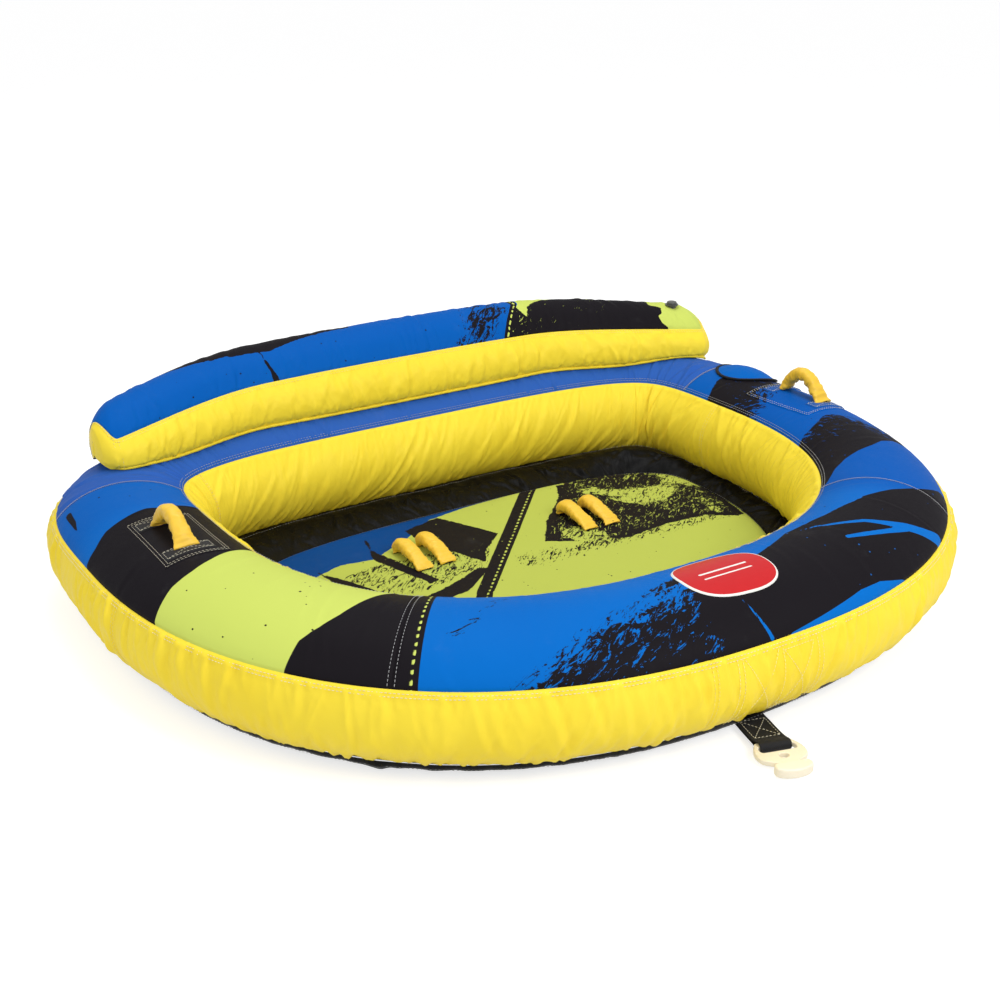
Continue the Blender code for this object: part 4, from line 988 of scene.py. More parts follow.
# Tapering strokes: ink, then (walk distance, angle in degrees, half width) along each.
STROKES = (
    ("ov", ((3.385, 106.0, 0.0004), (3.417, 101.0, 0.0025), (3.463, 90.0, 0.004),
            (3.498, 81.0, 0.005), (3.531, 66.0, 0.0075), (3.550, 57.0, 0.010),
            (3.571, 47.0, 0.010), (3.597, 33.0, 0.013))),
    ("ov", ((3.423, 77.4, 0.0045), (3.458, 72.0, 0.0055), (3.498, 65.0, 0.0055),
            (3.542, 57.0, 0.007))),
    ("ov", ((3.128, 62.0, 0.0008), (3.134, 46.0, 0.0022), (3.142, 30.0, 0.0036))),
    # beside the badge
    ("bk", ((2.965, 81.0, 0.0004), (3.005, 88.0, 0.0055), (3.046, 92.0, 0.0075),
            (3.080, 96.0, 0.009))),
    # a thorn at the back left
    ("bk", ((1.832, 43.0, 0.0068), (1.866, 43.5, 0.0055), (1.903, 41.5, 0.0003))),
)


def top_fields(along, down, phi):
    """The print on the ring's top: colour blocks with ragged or clean edges."""
    ink = blank(along.shape)
    angle = np.degrees(phi)
    s = np.where(along >= RING_LENGTH, along - RING_LENGTH, along)

    def edge(table):
        return np.interp(angle, *table)

    def block(key, low, high):
        paint(ink, key, np.minimum(s - low, high - s))

    # left: black under the handle, then lime, then black up to the dashed line
    block("bk", edge(DARK_START), edge(LIME_START))
    block("lm", edge(LIME_START) - 0.004, edge(LIME_END) + 0.004)
    block("bk", edge(LIME_END), 2.646)
    # right front: a black field whose ragged edge climbs from the outer seam and comes down
    cap = np.radians(np.interp(s, *BOW_CAP) - angle) * 0.135
    cap = np.where(between(s, 2.70, 3.80), cap, -1.0)
    cap = np.minimum(cap, np.minimum((s - 2.735) * 0.9, (3.785 - s) * 0.9))
    paint(ink, "bk", cap)
    ragged = ease((3.10 - s) / 0.06) * ease((s - 2.70) / 0.03)
    paint(ink, "gr", 0.020 * ragged)
    paint(ink, "sc", ragged * (0.60 + 0.34 * decay(np.clip(cap, 0, 1), 0.022)) * (cap > -0.05))
    paint(ink, "fl", ragged * 0.9 * bell(cap + 0.012, 0.022))
    paint(ink, "fl", 0.88 * bell(s - 2.69 - (angle - 68) * 0.0018, 0.022)
          * between(angle, 66, 112) * (s > 2.66))
    # blue along the outer seam of that field, and strokes
    low_blue = np.radians(np.interp(s, *BLUE_CAP) - angle) * 0.15
    paint(ink, "ov", np.where(between(s, 3.15, 3.47), low_blue, -1.0))
    for key, rows in STROKES:
        distances, angles, widths = zip(*rows)
        depths = arc_len(np.radians(angles)) - arc_len(PHI_OUT)
        paint(ink, key, line_sdf(s, down, list(zip(distances, depths)), widths))
    paint(ink, "gr", 0.010 * bell(s - 3.13, 0.03) + 0.0045 * between(s, 3.38, 3.6)
          * (angle < 108))
    paint(ink, "sp", 0.22 * between(s, 3.3, 3.8))
    # right: a worn black patch
    low, high = edge(RIGHT_START), edge(RIGHT_END)
    block("bk", low, high)
    near = decay(np.abs(high - s), 0.12) * (s < high + 0.02) * (s > low)
    outer = ease((100 - angle) / 40)
    paint(ink, "gr", 0.016 * bell(s - high, 0.05) * (0.35 + 0.65 * outer))
    paint(ink, "sc", near * (0.75 + 0.50 * outer))
    paint(ink, "sp", 0.30 * between(s, 3.70, 4.20))
    # worn black by the valve, across the start of the walk
    low, high = edge(VALVE_START), edge(VALVE_END) + RING_LENGTH
    past = np.where(s < 1.0, s + RING_LENGTH, s)
    paint(ink, "bk", np.where(past > 4.15, np.minimum(past - low, high - past), -1.0))
    near = decay(np.abs(past - low), 0.11) * (past > 4.15)
    paint(ink, "gr", 0.020 * bell(past - low, 0.06) + 0.007 * bell(past - high, 0.03))
    paint(ink, "sc", near * 1.15 * (past < high))
    # specks over blue and lime, deeper blues, and the royal blue stern section
    paint(ink, "sp", 0.20 * between(s, 1.80, 1.97) + 0.50 * between(s, 2.25, 2.5))
    ink["dk"] = 0.75 * ease((s - 3.60) / 0.12) * (s < 4.4) + 0.6 * (s < 0.4) \
        + 0.35 * ease((2.0 - s) / 0.1) * (s > 1.7)
    stern = between(along, TOP_SEAMS["back_right"] - 1e-6, TOP_SEAMS["back_left"] + 1e-6)
    ink["rb"] = np.where(stern, 1.0, -1.0)
    # lime dashes
    dash = dash_offset(down - 0.004, pitch=0.0155)
    paint(ink, "wt", np.minimum(0.0021 - np.abs(s - 2.637), 0.0046 - dash))
    return ink


def top_lift(seed, rear):
    """Relief of a top panel: gentle waves, puckers at the seams and a few folds."""
    rng = np.random.default_rng(seed)

    def lift(along, down, height):
        waves = 0.0012 * fnoise(along * 5.5, down * 6.0, seed) \
            + 0.00045 * fnoise(along * 22, down * 16, seed + 3)
        pucker = 0.0007 * vnoise(along * 95, down * 9, seed + 5) * decay(height - down, 0.016) \
            + 0.0005 * vnoise(along * 110, down * 8, seed + 8) * decay(down, 0.012)
        count = int((along.max() - along.min()) * (85 if rear else 16))
        folds = creases(along, down, rng, count, height=(0.0004, 0.0020 if rear else 0.0007),
                        width=(0.004, 0.009), slant=(-0.35, 0.35), top_share=0.3)
        return (waves + pucker + folds) * hem_fade(down, height, 0.006) \
            + 0.0012 * hem_fade(down, height, 0.02)
    return lift


def band_lift(seed, dense, strong, slants, folds=None):
    """Relief of a gathered side panel: folds from both seams and a soft swell between.
    dense is drawn folds per metre, strong scales their height."""
    rng = np.random.default_rng(seed)

    def lift(along, down, height):
        count = int((along.max() - along.min()) * dense)

        def drawn(share, low, high, width, **where):
            return creases(along, down, rng, int(count * share), (low * strong, high * strong),
                           width, slants, **where)

        relief = drawn(1, 0.0010, 0.0040, (0.0045, 0.0105), top=0.008, top_share=0.40)
        relief += drawn(1, 0.0006, 0.0020, (0.0028, 0.0050), top=0.008)
        relief += drawn(0.8, 0.0006, 0.0016, (0.0035, 0.0070), top=height - 0.075,
                        anchor="bottom")
        relief += drawn(0.6, 0.0006, 0.0018, (0.0026, 0.0050), bottom=0.060, anchor="top")
        broad = 0.0030 * fnoise(along * 9.0, down * 5.0, seed + 1)
        ripple = 0.0012 * vnoise(along * 85, down * 10, seed + 2) * decay(down, 0.03) \
            + 0.0006 * vnoise(along * 72, down * 9, seed + 4) * decay(height - down, 0.03)
        hem = 0.0012 * ease((0.0155 - down) / 0.003) * ease(down / 0.003)    # doubled cloth
        relief = relief * DRAWN + (folds(along, down) if folds else 0.0)
        return (relief + broad * DRAWN + ripple) * hem_fade(down, height, 0.009) + hem
    return lift


def build_ring_top():
    pieces = (("front", TOP_SEAMS["front_left"], TOP_SEAMS["front_right"]),
              ("left", TOP_SEAMS["back_left"], TOP_SEAMS["front_left"]),
              ("rear", TOP_SEAMS["back_right"], TOP_SEAMS["back_left"]),
              ("right", TOP_SEAMS["front_right"], TOP_SEAMS["back_right"] + RING_LENGTH))
    for i, (key, start, stop) in enumerate(pieces):
        rear = key == "rear"
        obj = ring_panel("ring_top_cover_" + key, start, stop, PHI_OUT, PHI_IN,
                         top_lift(31 + i, rear), 0.0036, 0.0042, top_fields)
        keep(obj, PRINT_MAT, "royal_blue" if rear else "print_blue", "ring_top_panel_" + key)


def build_outer_band():
    pieces = (("front_left", BAND_SEAMS["left"], BAND_SEAMS["bow"]),
              ("front_right", BAND_SEAMS["bow"], BAND_SEAMS["right"]),
              ("rear", BAND_SEAMS["right"], BAND_SEAMS["left"] + RING_LENGTH))
    for i, (key, start, stop) in enumerate(pieces):
        folds = ring_folds(start, stop, PHI_BAND_FOOT, PHI_OUT, 151 + i, grow=0.012)
        drawn = band_lift(51 + i, dense=84, strong=1.0, slants=(-0.35, 0.25))

        def lift(along, down, height):
            # drawn folds count down from the upper seam, the panel's rows from the lower
            return drawn(along, height - down, height) \
                + folds(along, down) * hem_fade(down, height, 0.006)

        obj = ring_panel("outer_band_cover_" + key, start, stop, PHI_BAND_FOOT, PHI_OUT, lift,
                         0.0031, 0.0044)
        keep(obj, YELLOW_MAT, "band_yellow", "outer_band_" + key)


def build_inner_wall():
    # name, start, stop, slants of the simulated folds, slants of the drawn ones
    pieces = (("rear", WALL_SEAMS["right"], WALL_SEAMS["rear_left"], (-0.1, 0.9), (-0.1, 0.9)),
              ("front", WALL_SEAMS["rear_left"], WALL_SEAMS["right"] + RING_LENGTH,
               (-0.5, 0.5), (-0.6, 0.6)))
    for i, (key, start, stop, fold_slants, drawn_slants) in enumerate(pieces):
        folds = ring_folds(start, stop, PHI_IN, PHI_SKIRT, 171 + i, 0.004, fold_slants)
        lift = band_lift(71 + i, dense=58, strong=0.80, slants=drawn_slants, folds=folds)
        obj = ring_panel("inner_wall_cover_" + key, start, stop, PHI_IN, PHI_SKIRT, lift,
                         0.0031, 0.0044)
        keep(obj, YELLOW_MAT, "band_yellow", "inner_wall_" + key)


def build_ring_base():
    def lift(along, down, height):
        return 0.0006 * fnoise(along * 14, down * 12, 91) * hem_fade(down, height) \
            * ease(np.minimum(along, RING_LENGTH - along) / 0.02)

    obj = ring_panel("ring_base_cover", 0.0, RING_LENGTH - 1e-6, PHI_SKIRT, PHI_LOW, lift,
                     0.0090, 0.0090, ends=False)
    keep(obj, UNDER_MAT, "black_cloth", "ring_bottom_panel")


def build_ring_bladder():
    s = np.linspace(0, RING_LENGTH, 260, endpoint=False)
    phi = np.linspace(0, TURN, 40, endpoint=False)
    points, _ = ring(s[:, None], phi[None], -0.0085)
    obj = grid_object("ring_bladder_film", points, uv_grid(s, phi * 0.14), wrap_u=True,
                      wrap_v=True)
    keep(obj, BLADDER_MAT, "bladder_film", "ring_bladder")


# ---------------------------------------------------------------- ring seams
def seam_circuit(phi, inset, lift):
    """A closed line round the ring, inset from the seam at angle phi."""
    s = span(0, RING_LENGTH, 0.004)
    points, normals = ring(s, phi_of(float(arc_len(phi)) + inset), lift)
    return points[:-1], normals[:-1], True


def seam_rung(s, phi0, phi1, count, lift):
    """A line across the ring's skin from phi0 to phi1."""
    return *ring(s, np.linspace(phi0, phi1, count), lift), False


def build_ring_stitches():
    insets = (0.0050, 0.0105)
    stitches("inner_seam_stitches", [seam_circuit(PHI_IN, -inset, 0.0016) for inset in insets],
             THREAD_GREY)
    stitches("outer_seam_stitches",
             [seam_circuit(PHI_OUT, -inset - 0.001, 0.0020) for inset in insets])
    stitches("cross_seam_zigzag",
             [seam_rung(TOP_SEAMS[key], PHI_OUT + 0.03, PHI_IN - 0.03, 120, 0.0009)
              for key in ("back_left", "back_right", "front_right")],
             THREAD_GREY, zigzag=0.0026, radius=0.00055)
    stitches("front_left_seam_stitches",
             [seam_rung(TOP_SEAMS["front_left"] + side, PHI_OUT + 0.02, PHI_IN - 0.02, 120,
                        0.0016) for side in (-0.0045, 0.0045)], THREAD_GREY)
    seams = [(s, PHI_BAND_FOOT, PHI_OUT) for s in BAND_SEAMS.values()] \
        + [(s, PHI_IN, PHI_SKIRT) for s in WALL_SEAMS.values()]
    stitches("band_seam_stitches",
             [seam_rung(s + side, phi0 + 0.02, phi1 - 0.02, 90, 0.0013)
              for s, phi0, phi1 in seams for side in (-0.0035, 0.0035)],
             THREAD_YELLOW, radius=0.0005)


def build_lower_seam():
    """The raw black edge below the yellow band, scalloped where the gathers pull it."""
    s = np.linspace(0, RING_LENGTH, 1500, endpoint=False)
    scallop = 0.0045 + 0.0022 * vnoise(s * 38, 0, 5) + 0.0016 * vnoise(s * 90, 0, 6)
    tag = 0.012 * bell(s - RING.nearest(-0.52, -0.50), 0.012)
    seam = float(arc_len(PHI_BAND_FOOT))
    stretch = (scallop + tag) / 0.0045
    # across the edge: distance up from the seam, lift, how far the scallops pull it down
    section = ((0.007, 0.0010, 0), (0.001, 0.0058, 0), (-0.004, 0.0095, 0.0035),
               (-0.0055, 0.0090, 0.0035), (-0.002, 0.0010, 0))
    points = np.stack([ring(s, phi_of(seam + back - pull * stretch),
                            lift * (1.0 + 0.25 * (stretch - 1)))[0]
                       for back, lift, pull in section], 1)
    points[..., 2] = np.maximum(points[..., 2], 0.0008)
    obj = grid_object("lower_seam_edge", points, uv_grid(s, np.arange(5) * 0.003), wrap_u=True)
    keep(obj, SKIRT_MAT, "black_cloth")
    line = ring(s, phi_of(seam - 0.0010 - 0.0015 * scallop / 0.0045), 0.0086)
    stitches("lower_seam_stitches", [(*line, True)], THREAD_GREY, length=0.004, gap=0.003,
             radius=0.0005)


# ---------------------------------------------------------------- backrest
BACK_HALF_X, BACK_SHIFT_X = 0.766, 0.040
BACK_FRONT_Y, BACK_BOW, BACK_DEPTH = 0.360, 0.125, 0.200
BACK_TOP_Z, BACK_FOOT_Z = 0.390, 0.2350
# Section from the front foot over the top: share of the depth, share of the height.
BACK_SECTION = ((0.0, 0.0), (-0.035, 0.170), (0.010, 0.400), (0.130, 0.620), (0.310, 0.870),
                (0.540, 1.0), (0.740, 0.950), (0.900, 0.750), (1.0, 0.440), (1.005, 0.130),
                (0.900, -0.140))
BACK_FLOOR = (0.700, 0.450, 0.220)       # shares of the depth along the underside
BACK_COUNT = len(BACK_SECTION) + len(BACK_FLOOR)
BACK_REAR_SEAM = 10
TAIL_START, TAIL_LENGTH = 0.952, 0.041   # where the top panel's seam climbs over the ends
SKIN_GAP = 0.0032                        # the covers' least height over the ring


def end_share(x):
    """0 at the bolster's middle, 1 at its ends."""
    return np.abs(x - BACK_SHIFT_X) / BACK_HALF_X


def back_rows(xs):
    """Control points of the bolster's section at each x: (n, 14, 3)."""
    share = np.minimum(1.0, end_share(xs))
    end = np.maximum(0.0, (share - 0.90) / 0.10)
    close = np.sqrt(np.maximum(0.0016, 1 - end ** 2.4))
    depth = BACK_DEPTH * (1 - 0.12 * share ** 4)
    front = BACK_FRONT_Y - BACK_BOW * ease((np.abs(xs) - 0.33) / 0.50)
    height = (BACK_TOP_Z - BACK_FOOT_Z) * (1 - 0.30 * share ** 2.6)
    mid_y, mid_z = front + 0.5 * depth, BACK_FOOT_Z + 0.30 * height
    squeeze = 0.25 + 0.75 * close
    rows = []
    for across, rise in BACK_SECTION:
        y = mid_y + (front + across * depth - mid_y) * close
        z = mid_z + (BACK_FOOT_Z + rise * height - mid_z) * squeeze
        rows.append(np.stack([xs, y, np.maximum(z, ring_top_z(xs, y) + 0.0048)], -1))
    for across in BACK_FLOOR:
        y = mid_y + (front + across * depth - mid_y) * close
        low = ring_top_z(xs, y) + 0.0048
        z = mid_z + (np.maximum(low, mid_z - 0.080) - mid_z) * squeeze
        rows.append(np.stack([xs, y, np.maximum(low, z)], -1))
    return np.stack(rows, 1)


def mirrored_shares(tail, count):
    """Shares from -1 side to +1 side: an even middle between two given tails."""
    middle = np.linspace(-tail[0], tail[0], count)[1:-1]
    return np.concatenate([-tail[::-1], middle, tail])


BACK_XS = BACK_SHIFT_X + BACK_HALF_X * mirrored_shares(
    0.90 + 0.10 * (1 - (1 - np.linspace(0, 1, 60)) ** 2.2), 321)
BACK_CONTROLS = back_rows(BACK_XS)
TOP_SHARES = mirrored_shares(
    TAIL_START + TAIL_LENGTH * np.sin(np.linspace(0, 1, 70) * math.pi / 2), 521)
END_SHARES = np.linspace(TAIL_START + TAIL_LENGTH, 1, 18)[1:]
TOP_XS = BACK_SHIFT_X + BACK_HALF_X * TOP_SHARES
BAND_XS = BACK_SHIFT_X + BACK_HALF_X * np.unique(
    np.concatenate([TOP_SHARES, -END_SHARES, END_SHARES]))


def back_at(x, step):
    """The bolster's surface at x and a section step: 0 front foot, 3 upper front seam,
    10 rear seam, 14 front foot again."""
    i = np.clip(np.searchsorted(BACK_XS, x) - 1, 0, len(BACK_XS) - 2)
    part = np.clip(((x - BACK_XS[i]) / (BACK_XS[i + 1] - BACK_XS[i]))[..., None], 0, 1)
    k = np.floor(step).astype(int)
    t = (step - k)[..., None]

    def control(j):
        j = j % BACK_COUNT
        return BACK_CONTROLS[i, j] * (1 - part) + BACK_CONTROLS[i + 1, j] * part

    def is_corner(j):
        return np.isin(j % BACK_COUNT, (0, BACK_REAR_SEAM))[..., None]

    p0, p1, p2, p3 = (control(k + j) for j in (-1, 0, 1, 2))
    # corners stay firm at the foot seams, and the rest runs smooth
    slope1 = np.where(is_corner(k), (p2 - p1) * 0.9, (p2 - p0) * 0.5)
    slope2 = np.where(is_corner(k + 1), (p2 - p1) * 0.9, (p3 - p1) * 0.5)
    t2, t3 = t * t, t * t * t
    return (2 * t3 - 3 * t2 + 1) * p1 + (t3 - 2 * t2 + t) * slope1 \
        + (3 * t2 - 2 * t3) * p2 + (t3 - t2) * slope2


def foot_step(x):
    return 0.0 * x


def front_seam_step(x):
    """Section step of the seam round the top panel: it climbs over the ends to the rear."""
    climb = np.clip((end_share(x) - TAIL_START) / TAIL_LENGTH, 0, 1)
    return 3.0 + 6.98 * (1 - np.sqrt(1 - climb ** 2.2))


def rear_seam_step(x):
    return 9.999 + 0 * x


def back_grid(xs, from_step, to_step, shares):
    """x, and the surface points, between two seams."""
    first, last = from_step(xs)[:, None], to_step(xs)[:, None]
    x = np.repeat(xs[:, None], len(shares), 1)
    return x, back_at(x, first + (last - first) * shares[None])


def clear_ring(points, gap):
    """Holds points at least gap over the ring's top."""
    points[..., 2] = np.maximum(points[..., 2], ring_top_z(points[..., 0], points[..., 1]) + gap)


def back_panel(name, xs, from_step, to_step, rows, lift_at, fields=None):
    shares = np.unique(np.concatenate([np.linspace(0, 1, rows), [0.008, 0.02, 0.98, 0.992]]))
    x, points = back_grid(xs, from_step, to_step, shares)
    normals = grid_normals(points)
    down = arc_grid(points)
    height = down[:, -1:]
    groove = edge_groove(down, height, wide=0.0032, deep=0.0017) \
        * ease((0.975 - end_share(x)) / 0.04)
    lift = lift_at(x, down, height) * ease((1.0 - end_share(x)) / 0.010)
    points = points + normals * (lift + groove)[..., None]
    clear_ring(points, SKIN_GAP)
    return grid_object(name, points, np.stack([x, down], -1),
                       fields(down, points) if fields else None)


def back_folds(from_step, to_step, seed, grow, rows, low, high):
    """Simulated folds of a bolster panel over its straight part, as a function of x and the
    share down the panel."""
    xs = BACK_SHIFT_X + BACK_HALF_X * np.linspace(-0.93, 0.93, 241)
    _, points = back_grid(xs, from_step, to_step, np.linspace(0, 1, rows))
    out = np.clip(blown(points, grid_normals(points), seed, grow, 0.05), low, high)
    return lambda x, share: sample_grid(out, (x - xs[0]) / (xs[1] - xs[0]),
                                        share * (rows - 1)) * ease((0.93 - end_share(x)) / 0.04)


def back_band_lift(folds):
    def lift(x, down, height):
        rng = np.random.default_rng(205)
        slant = (-0.5, 0.5)
        bottom = float(np.median(height))
        drawn = creases(x, down, rng, 80, (0.0006, 0.0026), (0.005, 0.013), slant, top=0.004,
                        bottom=bottom)
        drawn += creases(x, down, rng, 110, (0.0004, 0.0014), (0.003, 0.006), slant, top=0.004,
                         bottom=bottom, top_share=0.6)
        drawn += creases(x, down, rng, 90, (0.0006, 0.0018), (0.003, 0.006), slant, top=0.002,
                         bottom=0.035, anchor="top")
        broad = 0.0032 * fnoise(x * 5.5, down * 6.0, 7) + 0.0010 * fnoise(x * 20, down * 9.0, 9)
        share = down / np.maximum(height, 1e-6)
        swell = 0.0030 * np.sin(np.pi * np.clip(share, 0, 1))
        return (drawn * DRAWN + broad * DRAWN + folds(x, share) + swell) \
            * hem_fade(down, height, 0.012)
    return lift


def back_top_lift(folds):
    def lift(x, down, height):
        rng = np.random.default_rng(206)
        slant = (-0.5, 0.5)
        drawn = creases(x, down, rng, 60, (0.0004, 0.0014), (0.005, 0.012), slant,
                        bottom=float(np.median(height)), top_share=0.7)
        drawn += creases(x, down, rng, 70, (0.0003, 0.0010), (0.003, 0.006), slant,
                         bottom=0.035, anchor="top")
        broad = 0.0016 * fnoise(x * 4.5, down * 5.0, 17) \
            + 0.0005 * fnoise(x * 22, down * 14, 19)
        pucker = 0.0006 * vnoise(x * 85, down * 8, 21) * decay(down, 0.02)
        share = down / np.maximum(height, 1e-6)
        return (drawn * DRAWN + broad + pucker + 0.35 * folds(x, share)) \
            * hem_fade(down, height, 0.010)
    return lift


LIME_WEDGE = ((0.352, 0.415), (0.372, 0.445), (0.402, 0.458), (0.520, 0.478), (0.60, 0.60),
              (0.30, 0.60), (0.340, 0.45))                       # x, y
# The black along the rear left of the stripe: x, and the y of its front edge.
REAR_BLACK = ([-0.75, -0.614, -0.50, -0.40, -0.30, -0.20, -0.087, -0.05],
              [0.60, 0.442, 0.440, 0.446, 0.438, 0.462, 0.475, 0.62])


def back_fields(down, points):
    """The print on the backrest's top."""
    ink = blank(down.shape)
    x, y = points[..., 0], points[..., 1]
    climb = np.clip((y - 0.385) / 0.075, 0, 1)          # 0 at the front seam, 1 at the crest
    # stripe with lime dashes
    middle = 0.277 + (0.3445 - 0.277) * climb
    half = 0.0095
    paint(ink, "bk", half - np.abs(x - middle))
    ink["wt"] = np.minimum(0.0025 - np.abs(x - middle - 0.001),
                           0.0050 - dash_offset(down, pitch=0.0155))
    # right of the stripe: black scratched with lime, and a lime wedge behind the stripe
    right = x - middle - half * 0.9
    paint(ink, "bk", right)
    paint(ink, "lm", right - 0.001)
    wedge = poly_sdf(x, y, LIME_WEDGE)
    black_end = 0.680 + 0.055 * climb + 0.012 * vnoise(down * 60, 0, 31)
    ink["bk"] = np.where((wedge > -0.02) & (right > 0), np.minimum(ink["bk"], -wedge),
                         ink["bk"])
    ink["bk"] = np.where(right > 0, np.minimum(ink["bk"], black_end - x), ink["bk"])
    ink["sc"] = np.where((right > half * 0.4) & (x < 0.70),
                         np.clip(0.36 + 0.27 * vnoise(x * 9, y * 9, 33), 0, 0.62), 0.0)
    near_edge = decay(np.abs(wedge), 0.02) + decay(np.abs(black_end - x), 0.02)
    ink["gr"] = 0.006 * (right > 0) * np.clip(near_edge, 0, 1)
    # left of it: blue, worn dark by the stripe, a crack, specks, and black along the rear
    worn = bell(x - (0.20 + 0.07 * climb), 0.10) * (right < -half * 1.9)
    ink["fl"] = worn * (1.02 + 0.20 * vnoise(x * 14, y * 16, 35))
    paint(ink, "bk", line_sdf(x, y, [(-0.322, 0.455), (-0.318, 0.42), (-0.308, 0.385)],
                              [0.0008, 0.0036, 0.0060]))
    left = right < -0.02
    rear = y - np.interp(x, *REAR_BLACK) - 0.004
    ink["bk"] = np.where(left, np.maximum(ink["bk"], rear), ink["bk"])
    ink["gr"] = np.where(left, 0.0045, ink["gr"])
    ink["sp"] = np.where(left, 0.40, 0.0)
    ink["dk"][:] = 0.62
    return ink


def build_back_covers():
    band_folds = back_folds(foot_step, front_seam_step, 181, grow=0.006, rows=30, low=-0.0035,
                            high=0.0055)
    top_folds = back_folds(front_seam_step, rear_seam_step, 182, grow=0.002, rows=44,
                           low=-0.002, high=0.0025)
    obj = back_panel("backrest_front_band_cover", BAND_XS, foot_step, front_seam_step, 34,
                     back_band_lift(band_folds))
    keep(obj, YELLOW_MAT, "band_yellow", "backrest_front_band")
    obj = back_panel("backrest_top_cover", TOP_XS, front_seam_step, rear_seam_step, 64,
                     back_top_lift(top_folds), back_fields)
    keep(obj, PRINT_MAT, "print_blue", "backrest_top_panel")
    obj = back_panel("backrest_base_cover", BAND_XS, lambda x: BACK_REAR_SEAM + 0 * x,
                     lambda x: BACK_COUNT + 0 * x, 26,
                     lambda x, down, height: 0.0006 * fnoise(x * 12, down * 10, 3)
                     * hem_fade(down, height))
    keep(obj, UNDER_MAT, "black_cloth", "backrest_base_panel")
    # yellow at the front of both ends
    obj.data.materials.append(YELLOW_MAT)
    for face in obj.data.polygons:
        x, y = face.center.x - SHIFT.x, face.center.y - SHIFT.y
        face.material_index = int(end_share(x) > 0.950
                                  and y < BACK_FRONT_Y - BACK_BOW + 0.085)


def build_back_ends():
    """The ends, where the cover is gathered shut."""
    count = 56
    verts, faces = [], []
    for side in (-1, 1):
        x = BACK_SHIFT_X + side * BACK_HALF_X
        rim = back_at(np.full(count, x), np.linspace(0, BACK_COUNT, count + 1)[:-1])
        middle = rim.mean(0)
        rim = middle + (rim - middle) * 1.04
        rim[:, 0] = x - side * 0.0004
        rows = np.stack([rim, middle + (rim - middle) * 0.6 + (side * 0.0012, 0, 0),
                         middle + (rim - middle) * 0.02 + (side * 0.0016, 0, 0)])
        clear_ring(rows, SKIN_GAP)
        first = len(verts)
        verts += list(rows.reshape(-1, 3))
        quads = grid_quads(3, count, wrap_v=True, flip=side < 0)
        faces += [tuple(quad) for quad in (quads + first).tolist()]
        faces.append(tuple(range(first + 2 * count, first + 3 * count)))
    keep(mesh_object("backrest_end_covers", verts, faces), YELLOW_MAT, "band_yellow")


def build_back_bladder():
    xs = BACK_XS[np.abs(BACK_XS - BACK_SHIFT_X) < 0.955 * BACK_HALF_X][::6]
    steps = np.linspace(0, BACK_COUNT, 56, endpoint=False)
    points = back_at(*np.meshgrid(xs, steps, indexing="ij"))
    closed = np.concatenate([points, points[:, :1]], 1)
    points = points - grid_normals(closed)[:, :-1] * 0.0085
    clear_ring(points, 0.0062)
    points[..., 0] = BACK_SHIFT_X + (points[..., 0] - BACK_SHIFT_X) * 0.992
    obj = grid_object("backrest_bladder_film", points, uv_grid(xs, steps * 0.02), wrap_v=True)
    keep(obj, BLADDER_MAT, "bladder_film", "backrest_bladder")


def back_line(xs, steps, lift, slide=0.0):
    """A stitch line on the bolster, moved along the section by slide."""
    section = back_at(xs, steps + 0.02) - back_at(xs, steps - 0.02)
    normals = unit(np.cross(back_at(xs + 0.001, steps) - back_at(xs - 0.001, steps), section))
    return back_at(xs, steps) + normals * lift + unit(section) * slide, normals, False


def build_back_stitches():
    xs = TOP_XS[6:-6]
    stitches("backrest_seam_stitches",
             [back_line(xs, front_seam_step(xs), 0.0016, slide) for slide in (-0.0045, -0.0095)],
             THREAD_YELLOW, radius=0.00055)
    x = BACK_SHIFT_X - BACK_HALF_X * 0.960
    steps = np.linspace(0.15, float(front_seam_step(x)) - 0.25, 80)
    stitches("backrest_end_stitches",
             [back_line(np.full(80, x + side), steps, 0.0022) for side in (-0.004, 0.004)],
             THREAD_YELLOW, radius=0.00055)


def build_back_piping():
    """Cloth over a cord round the front foot; the cord runs out under the ends."""
    xs = BAND_XS[np.abs(BAND_XS - BACK_SHIFT_X) < 0.972 * BACK_HALF_X]
    path = back_line(xs, np.full(len(xs), 0.02), 0.0)[0]
    path[:, 1] -= 0.0010
    path[:, 2] = ring_top_z(path[:, 0], path[:, 1]) + 0.0060
    tangent = unit(np.gradient(path, axis=0))
    side = unit(np.cross(tangent, UP))
    top = np.cross(side, tangent)
    angles = np.linspace(0, TURN, 12, endpoint=False)
    tuck = np.clip((end_share(xs) - 0.940) / 0.032, 0, 1)
    radius = 0.0033 * (1 + 0.10 * vnoise(xs * 120, 0, 3)) \
        * np.sqrt(np.maximum(0.01, 1 - tuck ** 2))
    path[:, 1] += 0.007 * tuck ** 2
    path[:, 2] -= 0.0025 * tuck
    round_cord = side[:, None] * np.cos(angles)[None, :, None] \
        + top[:, None] * np.sin(angles)[None, :, None]
    obj = grid_object("backrest_piping_cord",
                      path[:, None] + round_cord * radius[:, None, None],
                      uv_grid(xs, angles * 0.004), wrap_v=True)
    keep(obj, YELLOW_MAT, "band_yellow", "backrest_piping")


# ---------------------------------------------------------------- floor
# The deck's rounded rim: distance in from the rim, share of the half thickness.
RIM_IN = (0, 0.004, 0.012, 0.025, 0.045)
RIM_RISE = (0.0, 0.42, 0.72, 0.92, 1.0)
ROAD = ((-0.215, -0.275), (-0.170, -0.215), (0.225, 0.205))      # middle of the stripe, x, y
